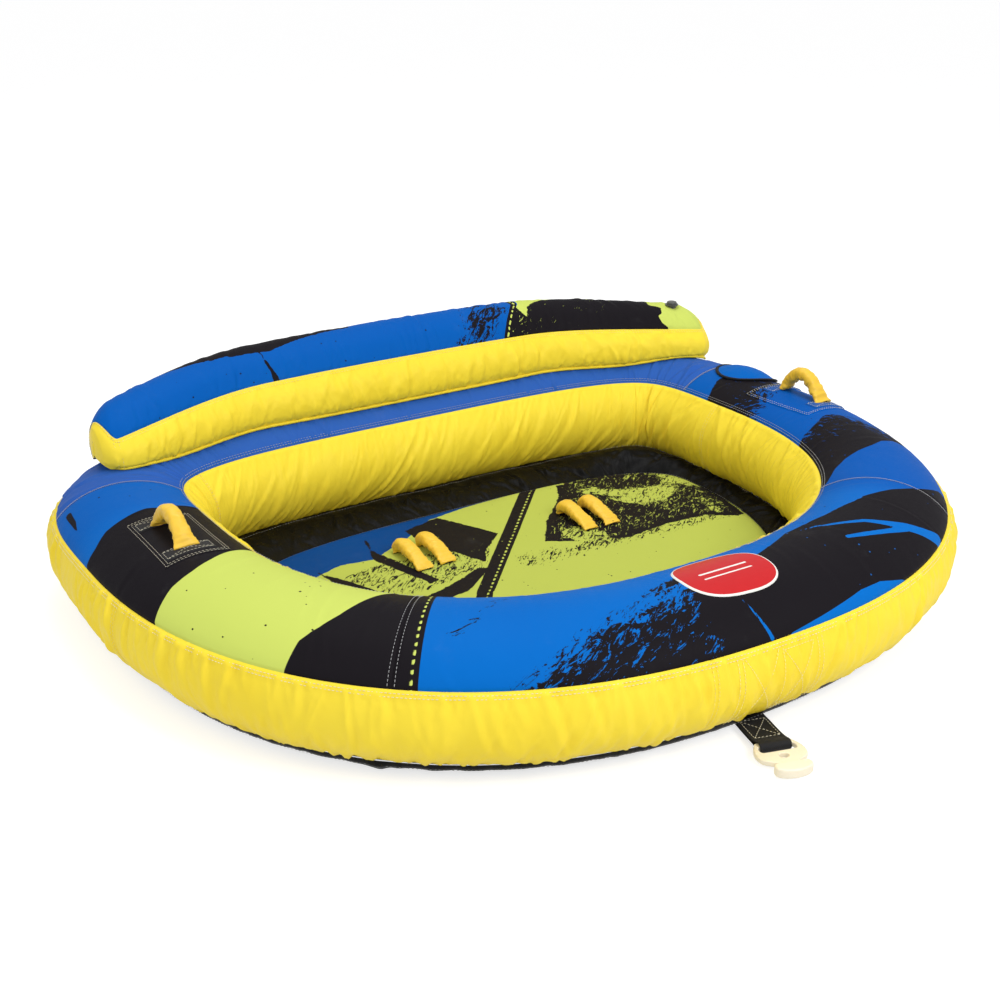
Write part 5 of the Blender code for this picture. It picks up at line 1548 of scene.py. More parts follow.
# The far edge of the lime ground: x, y.
DECK_LIME_EDGE = ([-0.60, -0.455, -0.35, -0.282, -0.18, -0.083, 0.033, 0.167, 0.60],
                  [-0.02, 0.006, 0.041, 0.030, 0.080, 0.142, 0.165, 0.175, 0.30])
DECK_BLACKS = (
    ((-0.158, 0.121), (-0.065, 0.143), (0.002, 0.004), (-0.060, -0.050), (-0.097, -0.103),
     (-0.156, 0.058)),
    ((-0.249, 0.125), (-0.262, 0.070), (-0.249, 0.019), (-0.216, -0.123), (-0.240, -0.124),
     (-0.282, 0.030)),
    ((-0.402, 0.036), (-0.357, -0.057), (-0.331, -0.137), (-0.352, -0.128), (-0.392, -0.055)),
    ((-0.300, -0.178), (-0.205, -0.150), (-0.127, -0.116), (-0.105, -0.128),
     (-0.191, -0.192), (-0.270, -0.205)),
)
DECK_BRUSHED_RIGHT = (
    (0.300, 0.232), (0.430, 0.205), (0.535, 0.170), (0.560, 0.060), (0.548, -0.060),
    (0.505, -0.215), (0.430, -0.160), (0.330, -0.150), (0.220, -0.165), (0.125, -0.125),
    (0.060, -0.085), (0.115, -0.010), (0.230, 0.105))
DECK_FLECKED_LEFT = ((-0.46, -0.01), (-0.30, 0.02), (-0.10, 0.02), (-0.02, -0.04),
                     (-0.10, -0.15), (-0.30, -0.17), (-0.44, -0.10))


def deck_points(walk, shares, upper=True):
    """Plan points and heights; shares run from 0 at the middle to 1 at the rim."""
    rim, _ = DECK.at(walk)
    plan = rim[:, None] * shares[None, :, None]
    from_rim = np.linalg.norm(rim, axis=1)[:, None] * (1 - shares)[None]
    rise = np.interp(from_rim, RIM_IN, RIM_RISE)
    return plan, FLOOR_MID + (1 if upper else -1) * FLOOR_HALF * rise


def deck_fields(x, y):
    """The print on the deck."""
    ink = blank(x.shape)
    ink["lm"] = np.interp(x, *DECK_LIME_EDGE) - y
    for corners in DECK_BLACKS:
        paint(ink, "bk", poly_sdf(x, y, corners))
    # the diagonal stripe with dashes
    road = line_sdf(x, y, ROAD, [0.0165] * 3)
    paint(ink, "bk", road)
    (start_x, start_y), (end_x, end_y) = ROAD[1:]
    run_x, run_y = end_x - start_x, end_y - start_y
    length = math.hypot(run_x, run_y)
    along = ((x - start_x) * run_x + (y - start_y) * run_y) / length
    across = ((x - start_x) * run_y - (y - start_y) * run_x) / length
    ink["wt"] = np.minimum(0.0022 - np.abs(across - 0.007),
                           0.0048 - dash_offset(along, pitch=0.0165))
    # worn black shapes right of the stripe: broad brush marks
    right = poly_sdf(x, y, DECK_BRUSHED_RIGHT)
    tone = fnoise(x * 7.0 + 3.1, y * 11.0, 41) + 0.275 * np.sin(x * 26 + y * 16 + 1.2)
    paint(ink, "bk", np.minimum(right, 0.045 * (tone + 0.28)))
    left = poly_sdf(x, y, DECK_FLECKED_LEFT)
    zone = ease(right / 0.03)
    off_road = road < 0
    scratched = np.clip(0.38 * zone + 0.25 * (ink["bk"] > 0) * off_road, 0, 0.75)
    band = bell(y + 0.150 + 0.05 * (x - 0.1), 0.055) * ease((x + 0.10) / 0.08)
    flecked = np.clip(0.92 * band + 0.86 * zone + 0.88 * ease(left / 0.03) * (y < 0.02)
                      + 0.45 * decay(np.abs(ink["lm"]), 0.03), 0, 0.95)
    # clean lime towards the bow, and a clean stripe
    clean = ease((-0.195 - y + 0.02 * vnoise(x * 9, 0, 3)) / 0.02)
    ink["bk"] = np.where(off_road & (y < -0.215), np.minimum(ink["bk"], -0.01), ink["bk"])
    ink["fl"] = np.where(road > -0.002, 0.0, flecked * (1 - clean))
    ink["sc"] = np.where(road > -0.002, 0.0, scratched * (1 - clean))
    ink["gr"] = np.where(np.abs(road) < 0.012, 0.0008, 0.0065 + 0.010 * zone)
    ink["sp"][:] = 0.22
    ink["dk"][:] = 0.55
    return ink


def build_deck():
    walk = np.linspace(0, DECK.length, 460, endpoint=False)
    shares = np.unique(np.concatenate([np.linspace(0.004, 0.93, 92),
                                       np.linspace(0.93, 1.0, 16)]))
    plan, z = deck_points(walk, shares)
    x, y = plan[..., 0], plan[..., 1]
    calm = np.ones(z.shape)              # flatter under the handles
    for handle_x, handle_y in DECK_HANDLES:
        calm *= 1 - 0.8 * bell(x - handle_x, 0.05) * bell(y - handle_y, 0.08)
    wave = (0.0016 * fnoise(x * 6, y * 6, 61) + 0.0005 * fnoise(x * 24, y * 24, 62)) \
        * ease((1 - shares) / 0.10)[None] * calm
    deck = grid_object("deck_cover", with_z(plan, z + wave), plan, deck_fields(x, y),
                       wrap_u=True, flip=True)
    capped(deck, len(walk), len(shares))
    # the deck's print carries painted shade of its recess
    keep(deck, DECK_PRINT_PAINTED_SHADE, "lime_print", "floor_top_sheet")


def build_deck_underside():
    """The lower sheet, with a hole at the front right."""
    hole, hole_radius = np.array([0.300, -0.300]), 0.024
    plan, z = deck_points(np.linspace(0, DECK.length, 200, endpoint=False),
                          np.linspace(0.01, 1, 44), upper=False)
    under = grid_object("floor_under_cover", with_z(plan, z), plan, wrap_u=True)
    cut = [face.index for face in under.data.polygons
           if np.linalg.norm(np.array(face.center[:2]) - hole) < hole_radius]
    bm = bmesh.new()
    bm.from_mesh(under.data)
    bm.faces.ensure_lookup_table()
    bmesh.ops.delete(bm, geom=[bm.faces[i] for i in cut], context="FACES")
    bm.to_mesh(under.data)
    bm.free()
    keep(under, UNDER_MAT, "black_cloth", "floor_bottom_sheet")


def build_deck_bladder():
    film = []
    for upper in (True, False):
        plan, z = deck_points(np.linspace(0, DECK.length, 180, endpoint=False),
                              np.linspace(0.02, 0.985, 14), upper)
        film.append(with_z(plan, FLOOR_MID + (z - FLOOR_MID) * 0.78))
    points = np.concatenate([film[0], film[1][:, ::-1]], 1)
    obj = grid_object("floor_bladder_film", points, points[..., :2], wrap_u=True, flip=True)
    keep(obj, BLADDER_MAT, "bladder_film", "floor_bladder")


def build_deck_stitches():
    rim, out = DECK.at(np.linspace(0, DECK.length, 700, endpoint=False))
    lines = []
    for inset in (0.006, 0.012):
        z = FLOOR_MID + FLOOR_HALF * np.interp(inset, RIM_IN, RIM_RISE) + 0.0022
        lines.append(flat_line(with_z(rim - out * inset, z), closed=True))
    stitches("deck_rim_stitches", lines, THREAD_DARK, radius=0.00038)


def build_floor_skirt():
    """The loose cloth between the deck's rim and the foot of the inner wall."""
    walk = np.linspace(0, DECK.length, 1300, endpoint=False)
    rim, out = DECK.at(walk)
    nearest = [RING.nearest_index(point) for point in rim]
    reach = TUBE_HALF_W * math.cos(PHI_SKIRT) + 0.0050
    foot = smooth_loop(RING.points[nearest] + RING.normals[nearest] * reach, 31)
    for _ in range(3):     # back onto the wall's foot where the smoothing cut the corner
        centre = RING.points[[RING.nearest_index(point) for point in foot]]
        foot = centre - unit(foot - centre) * reach
    shares = np.concatenate([[0.0, 0.012], np.linspace(0.04, 1, 29)])
    rim = rim + out * 0.0006
    plan = rim[:, None] * (1 - shares)[None, :, None] + foot[:, None] * shares[None, :, None]
    along = np.repeat(walk[:, None], len(shares), 1)
    width = np.linalg.norm(foot - rim, axis=1)[:, None]
    across = shares[None] * np.maximum(width, 0.03)
    arch = np.sin(np.pi * shares)[None]
    rim_z, seam_z = 0.0300, TUBE_HALF_H * (1 + math.sin(PHI_SKIRT))
    base = rim_z + (seam_z + 0.002 - rim_z) * shares[None] \
        + np.minimum(0.010, width * 0.10) * arch
    base[:, 0] = FLOOR_MID - 0.001       # turned down to the deck's rim
    folds = creases(along, across, np.random.default_rng(77), 260, height=(0.0012, 0.0040),
                    width=(0.005, 0.012), slant=(-0.9, 0.9), bottom=float(np.median(width)))
    crumple = 0.0030 * fnoise(along * 16, across * 20, 78) \
        + 0.0016 * fnoise(along * 45, across * 40, 79)
    right_rear = bell(plan[..., 0] - 0.52, 0.10) * bell(plan[..., 1] - 0.20, 0.09)
    hump = 0.034 * right_rear * arch * (1 + 0.4 * vnoise(along * 24, across * 9, 80))
    z = base + (folds + crumple) * arch ** 0.6 * np.minimum(1, width / 0.05) + hump
    points = with_z(plan, z)
    skirt = grid_object("floor_skirt_cloth", points, np.stack([along, across], -1),
                        wrap_u=True, flip=True)
    keep(skirt, SKIRT_MAT, "black_cloth", "floor_skirt")
    line = flat_line(points[:, 24] + 0.0012 * UP, closed=True)
    stitches("skirt_stitches", [line], THREAD_GREY, radius=0.0005)
    line = ring(np.linspace(0, RING_LENGTH, 900, endpoint=False),
                phi_of(float(arc_len(PHI_SKIRT)) - 0.0035), 0.0016)
    stitches("skirt_seam_stitches", [(*line, True)], THREAD_YELLOW, radius=0.0005)


# ---------------------------------------------------------------- patches on the ring's top
def top_sheet(x, y, lift):
    """Points and normals over plan points on the ring's top."""
    z = ring_top_z(x, y)
    step = 0.002
    slope_x = (ring_top_z(x + step, y) - ring_top_z(x - step, y)) / (2 * step)
    slope_y = (ring_top_z(x, y + step) - ring_top_z(x, y - step)) / (2 * step)
    normals = unit(np.stack([-slope_x, -slope_y, np.ones_like(z)], -1))
    return np.stack([x, y, z], -1) + normals * np.asarray(lift)[..., None], normals


def patch(name, x_mid, y_mid, half_x, half_y, lift, mat, slot, node, step=0.004, down=0.004,
          fields=None):
    """A sewn-on sheet whose rim turns down to the cloth below."""
    def lines(low, high):
        even = np.linspace(low, high, max(4, int((high - low) / step)))
        return np.concatenate([[low, low + 0.0003], even[1:-1], [high - 0.0003, high]])

    x0, x1, y0, y1 = x_mid - half_x, x_mid + half_x, y_mid - half_y, y_mid + half_y
    x, y = np.meshgrid(lines(x0, x1), lines(y0, y1), indexing="ij")
    inset = np.minimum(np.minimum(x - x0, x1 - x), np.minimum(y - y0, y1 - y))
    rise = lift - 0.0016 * decay(inset, 0.0012) - down * (inset < 1e-6) \
        + 0.00025 * fnoise(x * 30, y * 30, 5)
    obj = grid_object(name, top_sheet(x, y, rise)[0], np.stack([x, y], -1),
                      fields(x, y) if fields else None)
    keep(obj, mat, slot, node)


def top_line(corners, lift):
    """A stitch line through plan corners on the ring's top."""
    line = polyline(corners, 60)
    return *top_sheet(line[:, 0], line[:, 1], lift), False


def patch_print(x, y):
    """The patch carries on the print below it."""
    plan = np.stack([x, y], -1)
    nearest = np.array([RING.nearest_index(point) for point in plan.reshape(-1, 2)])
    nearest = nearest.reshape(x.shape)
    s = nearest * RING_LENGTH / RING.count
    away = np.linalg.norm(plan - RING.points[nearest], axis=-1)
    centre, out = RING.at(s)
    side = np.sign(((plan - centre) * out).sum(-1))
    phi = np.arccos(np.clip(side * away / TUBE_HALF_W, -1, 1))
    return top_fields(s, arc_len(phi) - float(arc_len(PHI_OUT)), phi)


# Ring handles: x, y of the middle; the patches' own x.
LEFT_HANDLE, RIGHT_HANDLE, PATCH_X = (-0.724, -0.080), (0.742, -0.116), 0.718
PATCH_HALF_X, PATCH_HALF_Y = 0.060, 0.100
ANCHOR_HALF_X, ANCHOR_HALF_Y, ANCHOR_REACH = 0.044, 0.017, 0.067


def build_handle_patches():
    # name, x of the patch, handle, patch material, slot and print, strap material and slot
    sides = (("left_ring_handle", -PATCH_X, LEFT_HANDLE, PATCH_BLACK, "black_cloth", None,
              WEB_MAT, "webbing"),
             ("right_ring_handle", PATCH_X, RIGHT_HANDLE, PRINT_MAT, "print_blue", patch_print,
              WEB_BLUE, None))
    lines = []
    for name, patch_x, (x, y), mat, slot, fields, strap_mat, strap_slot in sides:
        patch(name + "_patch_cloth", patch_x, y, PATCH_HALF_X, PATCH_HALF_Y, 0.0026, mat, slot,
              name + "_patch", fields=fields)
        for inset in (0.004, 0.0095):
            corners = rectangle(patch_x, y, PATCH_HALF_X - inset, PATCH_HALF_Y - inset)
            lines.append(top_line(corners, 0.0031))
        for end, offset in (("rear", ANCHOR_REACH), ("front", -ANCHOR_REACH)):
            patch(name + "_anchor_" + end + "_strap", x, y + offset, ANCHOR_HALF_X,
                  ANCHOR_HALF_Y, 0.0050, strap_mat, strap_slot, name + "_anchor_" + end,
                  step=0.003, down=0.006)
            corners = rectangle(x, y + offset, 0.040, 0.0135)
            lines += [top_line(path, 0.0056)
                      for path in (corners, corners[0:3:2], corners[1:4:2])]
    stitches("handle_patch_stitches", lines, radius=0.00045)


# ---------------------------------------------------------------- grab handles
# Arches: distance towards the bow from 0.05 behind the middle, height.
RING_PATH = ((-0.006, -0.0090), (-0.004, -0.0035), (0.001, 0.0070), (0.012, 0.0225),
             (0.026, 0.0350), (0.040, 0.0400), (0.056, 0.0385), (0.070, 0.0300),
             (0.084, 0.0175), (0.098, 0.0035), (0.105, -0.0040), (0.112, -0.0090))
LEFT_PATH = tuple((ahead, z * (0.78 if z > 0 else 1.0)) for ahead, z in RING_PATH)
DECK_PATH = ((0.002, -0.0055), (-0.002, 0.0000), (-0.001, 0.0090), (0.010, 0.0160),
             (0.028, 0.0165), (0.052, 0.0125), (0.078, 0.0070), (0.096, 0.0015),
             (0.106, -0.0040))
# Half widths and half thicknesses: share along the arch, size.
RING_WIDTHS = ((0, 0.0200), (0.08, 0.0175), (0.22, 0.0150), (0.45, 0.0142), (0.68, 0.0150),
               (0.86, 0.0178), (1, 0.0235))
RING_DEPTHS = ((0, 0.0032), (0.07, 0.0080), (0.20, 0.0125), (0.45, 0.0140), (0.66, 0.0135),
               (0.84, 0.0095), (1, 0.0030))
DECK_WIDTHS = ((0, 0.0140), (0.10, 0.0150), (0.25, 0.0158), (0.50, 0.0158), (0.80, 0.0168),
               (1, 0.0190))
DECK_DEPTHS = ((0, 0.0060), (0.10, 0.0105), (0.25, 0.0130), (0.55, 0.0112), (0.82, 0.0070),
               (1, 0.0028))


def sleeve(x, y_mid, foot_z, path, widths, depths, seed, sides=26):
    """Points and UVs of a padded sleeve along an arch in the plane x, its cloth gathered."""
    count = 70
    arch = smooth_path(path, count)
    centre = np.stack([np.full(count, x), y_mid + 0.050 - arch[:, 0], foot_z + arch[:, 1]], 1)
    across = np.tile([1.0, 0.0, 0.0], (count, 1))
    rise = np.cross(unit(np.gradient(centre, axis=0)), across)
    share = np.linspace(0, 1, count)
    half_width, half_depth = (relax(np.interp(share, *zip(*table)), passes=4)
                              for table in (widths, depths))
    angles = np.linspace(0, TURN, sides, endpoint=False)
    boxy_cos, boxy_sin = (np.sign(v) * np.abs(v) ** 0.82
                          for v in (np.cos(angles), np.sin(angles)))
    share, angle = np.meshgrid(share, angles, indexing="ij")
    # gathers: fine on the inner side of the bend and near the feet
    near_foot = decay(np.minimum(share, 1 - share), 0.10)
    gather = (0.0016 * vnoise(share * 26, angle * 0.9, seed)
              + 0.0012 * vnoise(share * 48, angle * 1.3, seed + 1)) \
        * (0.55 + 1.0 * np.clip(-np.sin(angle), 0, 1) + 0.9 * near_foot)
    gather = gather + 0.0010 * vnoise(share * 9, angle * 2.2, seed + 2)
    points = centre[:, None] \
        + across[:, None] * (boxy_cos[None] * (half_width[:, None] + gather))[..., None] \
        + rise[:, None] * (boxy_sin[None] * (half_depth[:, None] + gather))[..., None]
    # the ends are drawn in
    first, last = (centre[i] + (points[i] - centre[i]) * 0.55 for i in (0, -1))
    uv = uv_grid(walked(centre), angles * 0.014)
    return np.concatenate([first[None], points, last[None]]), \
        np.concatenate([uv[:1], uv, uv[-1:]])


def build_grips():
    # name, (x, y), foot height, arch, half widths, half thicknesses, seed
    grips = [("left_ring_handle", LEFT_HANDLE, 0.25428, LEFT_PATH, RING_WIDTHS, RING_DEPTHS,
              301),
             ("right_ring_handle", RIGHT_HANDLE, 0.25308, RING_PATH, RING_WIDTHS, RING_DEPTHS,
              302)]
    grips += [("deck_handle_%d" % (i + 1), spot, 0.0471, DECK_PATH, DECK_WIDTHS, DECK_DEPTHS,
               310 + i) for i, spot in enumerate(DECK_HANDLES)]
    for name, (x, y), z, path, widths, depths, seed in grips:
        on_deck = name.startswith("deck")
        foot, top = (x, y, z - 0.004), (x, y, z + 0.020)
        points, uv = sleeve(x, y, z, path, widths, depths, seed)
        if on_deck:
            points[..., 2] = np.maximum(points[..., 2], DECK_TOP + 0.0006)
        else:
            clear_ring(points, 0.0045)
        obj = grid_object(name + "_grip_sleeve", points, uv, wrap_v=True, flip=True)
        bend(obj, name, foot, top, GRIP_MAT, "grip_yellow", name + "_grip")
        # webbing core inside the sleeve
        points, uv = sleeve(x, y, z, [(ahead, high - 0.001) for ahead, high in path],
                            [(share, width * 0.60) for share, width in widths],
                            [(0, 0.0012), (1, 0.0012)], seed + 50, sides=12)
        if on_deck:
            points[..., 2] = np.maximum(points[..., 2], DECK_TOP + 0.0003)
        obj = grid_object(name + "_webbing_core", points, uv, wrap_v=True, flip=True)
        bend(obj, name, foot, top, WEB_MAT, "webbing", name + "_webbing")


# ---------------------------------------------------------------- valve flap and badge
def disc_sheet(x_mid, y_mid, half_x, half_y, lift_at, spokes, rings, power=2.0, yaw=0.0):
    """A rounded sheet on the ring's top, raised by lift_at(share, angle, u, v); share is 0
    in the middle, 1 at the rim. Returns points, u, v and share."""
    angle = np.linspace(0, TURN, spokes, endpoint=False)
    share = np.linspace(0.01, 1.0, rings)
    rim_u, rim_v = (half * np.sign(v) * np.abs(v) ** (2 / power)
                    for half, v in ((half_x, np.cos(angle)), (half_y, np.sin(angle))))
    u, v = share[None] * rim_u[:, None], share[None] * rim_v[:, None]
    x = x_mid + u * math.cos(yaw) - v * math.sin(yaw)
    y = y_mid + u * math.sin(yaw) + v * math.cos(yaw)
    share, angle = np.broadcast_arrays(share[None], angle[:, None])
    return top_sheet(x, y, lift_at(share, angle, u, v))[0], u, v, share


def build_valve_flap():
    flap_x, flap_y, flap_r = 0.757, 0.086, 0.072

    def outer_lift(share, angle, u, v):
        return 0.0042 + 0.0125 * (1 - share ** 2) ** 1.2 \
            + 0.0010 * fnoise(u * 30, v * 30, 91) * (1 - share ** 6) \
            + 0.0007 * np.sin(9 * angle) * share ** 2 * (1 - share ** 4)

    def lining_lift(share, angle, u, v):
        return 0.0030 + 0.0115 * (1 - share ** 2) ** 1.2

    spokes, rings = 130, 26
    points, u, v, _ = disc_sheet(flap_x, flap_y, flap_r - 0.0035, flap_r - 0.0035, outer_lift,
                                 spokes, rings)
    ink = blank(u.shape)
    ink["dk"][:] = 0.25
    obj = grid_object("valve_flap_cloth", points, np.stack([u, v], -1), ink, wrap_u=True,
                      flip=True)
    capped(obj, spokes, rings)
    keep(obj, PRINT_MAT, "print_blue", "valve_flap", body="valve_flap")
    points, *_ = disc_sheet(flap_x, flap_y, flap_r - 0.0038, flap_r - 0.0038, lining_lift,
                            spokes=80, rings=14)
    keep(grid_object("valve_flap_lining", points, wrap_u=True), UNDER_MAT, "black_cloth",
         body="valve_flap")
    # binding tape round the rim
    angle = np.linspace(0, TURN, 160, endpoint=False)
    cos, sin = np.cos(angle), np.sin(angle)
    centre, up = top_sheet(flap_x + (flap_r - 0.003) * cos, flap_y + (flap_r - 0.003) * sin,
                           0.0042)
    out = np.stack([cos, sin, np.zeros(160)], -1)
    out = out - up * (out * up).sum(1)[:, None]
    turn = np.linspace(0, TURN, 14, endpoint=False)
    uneven = 1 + 0.06 * vnoise(angle * 16, 0, 8)
    tape = centre[:, None] \
        + out[:, None] * (0.0040 * np.cos(turn))[None, :, None] * uneven[:, None, None] \
        + up[:, None] * (0.0026 * np.sin(turn))[None, :, None]
    obj = grid_object("valve_flap_binding_tape", tape, uv_grid(angle * flap_r, turn * 0.004),
                      wrap_u=True, wrap_v=True)
    keep(obj, BIND_MAT, "black_cloth", "valve_flap_binding", body="valve_flap")


def build_badge():
    """Badge at the bow; rim is the distance in from its edge, mark the inside of two lines."""
    spokes, rings = 160, 44
    points, u, v, share = disc_sheet(
        -0.021, -0.711, 0.090, 0.065,
        lambda share, angle, u, v: 0.0034 - 0.0020 * ease((share - 0.985) / 0.015),
        spokes, rings, power=2.6, yaw=math.radians(-4))
    rim = (1 - share) * np.minimum(1.0, np.hypot(u, v) / np.maximum(share, 1e-3))
    mark = np.maximum(0.0022 - np.abs(v - 0.006 - 0.05 * u),
                      0.0016 - np.abs(v + 0.010 - 0.05 * u))
    mark = np.minimum(mark, 0.050 - np.abs(u))
    obj = grid_object("front_badge_patch", points, np.stack([u, v], -1),
                      {"rim": rim, "mark": mark}, wrap_u=True, flip=True)
    capped(obj, spokes, rings)
    keep(obj, badge_material(), "badge", "front_badge")


# ---------------------------------------------------------------- tow strap and hook
TOW_YAW, TOW_REACH, BAR_Z, TOW_HALF = math.radians(17), 0.104, 0.0108, 0.029
TOW_ROOT = np.array([-0.020, -0.783, 0.0])
TOW_AHEAD = np.array([-math.sin(TOW_YAW), -math.cos(TOW_YAW), 0.0])
TOW_ACROSS = np.array([math.cos(TOW_YAW), -math.sin(TOW_YAW), 0.0])
# The strap's upper and lower runs: distance ahead, height.
STRAP_UPPER = [(-0.012, 0.0082), (-0.002, 0.0096), (0.010, 0.0106), (0.030, 0.0112),
               (0.050, 0.0118), (0.070, 0.0128), (0.084, 0.0140), (0.0925, 0.0170)]
STRAP_LOWER = [(0.0925, 0.0062), (0.084, 0.0072), (0.050, 0.0064), (0.010, 0.0052),
               (-0.012, 0.0040)]
STRAP_LOOP_R = 0.0102


def tow_at(across, ahead, z):
    across, ahead, z = np.broadcast_arrays(*(np.asarray(v, float) for v in (across, ahead, z)))
    return TOW_ROOT + across[..., None] * TOW_ACROSS + ahead[..., None] * TOW_AHEAD \
        + z[..., None] * UP


def bend_strap(obj, mat, *slot_and_node):
    bend(obj, "tow_strap", tuple(tow_at(0, 0, 0.008)), tuple(tow_at(0, 0.022, 0.008)), mat,
         *slot_and_node)


def build_tow_strap():
    loop = [(TOW_REACH + STRAP_LOOP_R * math.cos(w), BAR_Z + STRAP_LOOP_R * math.sin(w))
            for w in np.linspace(math.radians(135), math.radians(-140), 26)]
    profile = smooth_path(STRAP_UPPER + loop + STRAP_LOWER, 150)
    tangent = unit(np.gradient(profile, axis=0))
    normal = np.stack([-tangent[:, 1], tangent[:, 0]], 1)
    edge = TOW_HALF - np.array([0.0018, 0.0006, 0.0])
    across = np.concatenate([-edge[::-1], np.linspace(-0.026, 0.026, 24), edge])

    def face(offset):
        ahead = profile[:, :1] + normal[:, :1] * offset
        z = profile[:, 1:] + normal[:, 1:] * offset
        wave = 0.0006 * vnoise(profile[:, :1] * 60, across[None] * 60, 7)
        pinch = 1.0 - 0.035 * ease((profile[:, :1] - 0.080) / 0.02)
        return tow_at(across[None] * pinch, ahead, z + wave)

    edge_in = 0.0011 * decay(TOW_HALF - np.abs(across), 0.0008)[None]
    points = np.concatenate([face(0.0 - edge_in), face(-0.0022 + edge_in)[:, ::-1]], 1)
    uv = uv_grid(np.arange(len(profile)) * 0.0016, np.concatenate([across, across[::-1]]))
    bend_strap(grid_object("tow_strap_webbing", points, uv, wrap_v=True), WEB_MAT, "webbing",
               "tow_strap")
    # a sewn box with both diagonals
    corners = [(-0.0225, 0.024), (0.0225, 0.024), (0.0225, 0.081), (-0.0225, 0.081)]
    lines = []
    for path in (corners + corners[:1], corners[0::2], corners[1::2]):
        line = polyline(path, 30)
        z = np.interp(line[:, 1], *zip(*STRAP_UPPER)) + 0.0008
        lines.append(flat_line(tow_at(line[:, 0], line[:, 1], z)))
    bend_strap(stitch_mesh("tow_strap_stitches", lines, radius=0.0007), THREAD_MAT)


def round_slab(name, outlines, z_mid, half, bevel, resolution):
    """A flat moulding with rounded rims; inner outlines are left open."""
    curve = bpy.data.curves.new(name, "CURVE")
    curve.dimensions = "2D"
    curve.fill_mode = "BOTH"
    curve.extrude = half - bevel
    curve.bevel_depth = bevel
    curve.bevel_resolution = resolution
    curve.offset = -bevel
    for outline in outlines:
        spline = curve.splines.new("POLY")
        spline.points.add(len(outline) - 1)
        for point, (x, y) in zip(spline.points, outline):
            point.co = (x, y, 0, 1)
        spline.use_cyclic_u = True
    source = link(name + "_c", curve)
    bpy.context.view_layer.update()
    depsgraph = bpy.context.evaluated_depsgraph_get()
    mesh = bpy.data.meshes.new_from_object(source.evaluated_get(depsgraph))
    bpy.data.objects.remove(source)
    co = np.array([vert.co for vert in mesh.vertices])
    placed = tow_at(co[:, 0], TOW_REACH + co[:, 1], BAR_Z + z_mid + co[:, 2])
    for vert, point in zip(mesh.vertices, placed):
        vert.co = point
    mesh.polygons.foreach_set("use_smooth", [True] * len(mesh.polygons))
    mesh.update()
    return link(name, mesh)


def closed_spline(points, count):
    """A smooth closed curve through the points."""
    points = np.asarray(points, float)
    t = np.linspace(0, len(points), count, endpoint=False)
    k = np.floor(t).astype(int)
    t = (t - k)[:, None]
    p0, p1, p2, p3 = (points[(k + j) % len(points)] for j in (-1, 0, 1, 2))
    return 0.5 * (2 * p1 + (p2 - p0) * t + (2 * p0 - 5 * p1 + 4 * p2 - p3) * t ** 2
                  + (3 * p1 - p0 - 3 * p2 + p3) * t ** 3)


def mirrored(half):
    return half + [(-x, y) for x, y in reversed(half)]


# Hook outlines: distance across, distance ahead of the strap's loop; halves are mirrored.
HOOK_PLATE = mirrored([(0.0250, -0.0085), (0.0345, -0.0020), (0.0405, 0.0100), (0.0430, 0.0240),
                       (0.0400, 0.0380), (0.0300, 0.0470), (0.0190, 0.0525), (0.0130, 0.0590),
                       (0.0120, 0.0680)])
HOOK_SLOT = [(-0.0305, 0.0060), (-0.0305, 0.0185), (-0.0200, 0.0205), (0.0, 0.0207),
             (0.0200, 0.0205), (0.0305, 0.0185), (0.0305, 0.0060), (0.0200, 0.0048),
             (0.0, 0.0046), (-0.0200, 0.0048)]
HOOK_NOSE = mirrored([(0.0060, 0.0580), (0.0200, 0.0590), (0.0285, 0.0600), (0.0320, 0.0665),
                      (0.0300, 0.0755), (0.0180, 0.0825), (0.0050, 0.0850)])


def build_hook():
    hole = [(0.0080 * math.cos(w), 0.0350 + 0.0062 * math.sin(w))
            for w in np.linspace(0, TURN, 40, endpoint=False)]
    plate = round_slab("hook_plate",
                       [closed_spline(HOOK_PLATE, 120), closed_spline(HOOK_SLOT, 80), hole],
                       z_mid=0.0, half=0.0047, bevel=0.0019, resolution=4)
    nose = round_slab("hook_nose", [closed_spline(HOOK_NOSE, 90)], z_mid=0.0012, half=0.0084,
                      bevel=0.0032, resolution=5)
    ivory = ivory_material()
    keep(plate, ivory, "hook_plastic", "tow_hook", body="tow_hook")
    keep(nose, ivory, "hook_plastic", body="tow_hook")


def build_tow_anchor():
    """Webbing against the ring's underside at the bow."""
    reaches = np.linspace(0.030, 0.0640, 16)
    across = np.linspace(-TOW_HALF, TOW_HALF, 20)
    centre, out = RING.at([RING.nearest(TOW_ROOT[0] + TOW_ACROSS[0] * a, -0.71)
                           for a in across])
    drop = TUBE_HALF_H * (1 - np.sqrt(1 - (reaches / TUBE_HALF_W) ** 2))
    upper = with_z(centre[None] + out[None] * reaches[:, None, None],
                   np.maximum(drop - 0.0012, 0.0012)[:, None])
    lower = upper.copy()
    lower[..., 2] = np.maximum(lower[..., 2] - 0.0018, 0.0006)
    obj = grid_object("tow_anchor_strap", np.concatenate([upper, lower[:, ::-1]], 1),
                      uv_grid(reaches, np.concatenate([across, across[::-1]])), wrap_v=True)
    keep(obj, WEB_MAT, "webbing", "tow_anchor_webbing")


# Stitch lines on the band above the strap: offset along the ring, angle in degrees.
BOW_LINES = (
    ((-0.075, 24), (-0.075, -40)),
    ((-0.066, 24), (-0.066, -40)),
    ((-0.062, 22), (0.000, -34)),
    ((0.000, 22), (-0.058, -34)),
    ((0.008, 22), (0.008, -38), (0.045, -6), (0.010, 20), (0.070, 20), (0.044, -6),
     (0.070, -36), (0.010, -38)),
    ((0.078, 24), (0.078, -40)),
    ((0.087, 24), (0.087, -40)),
)


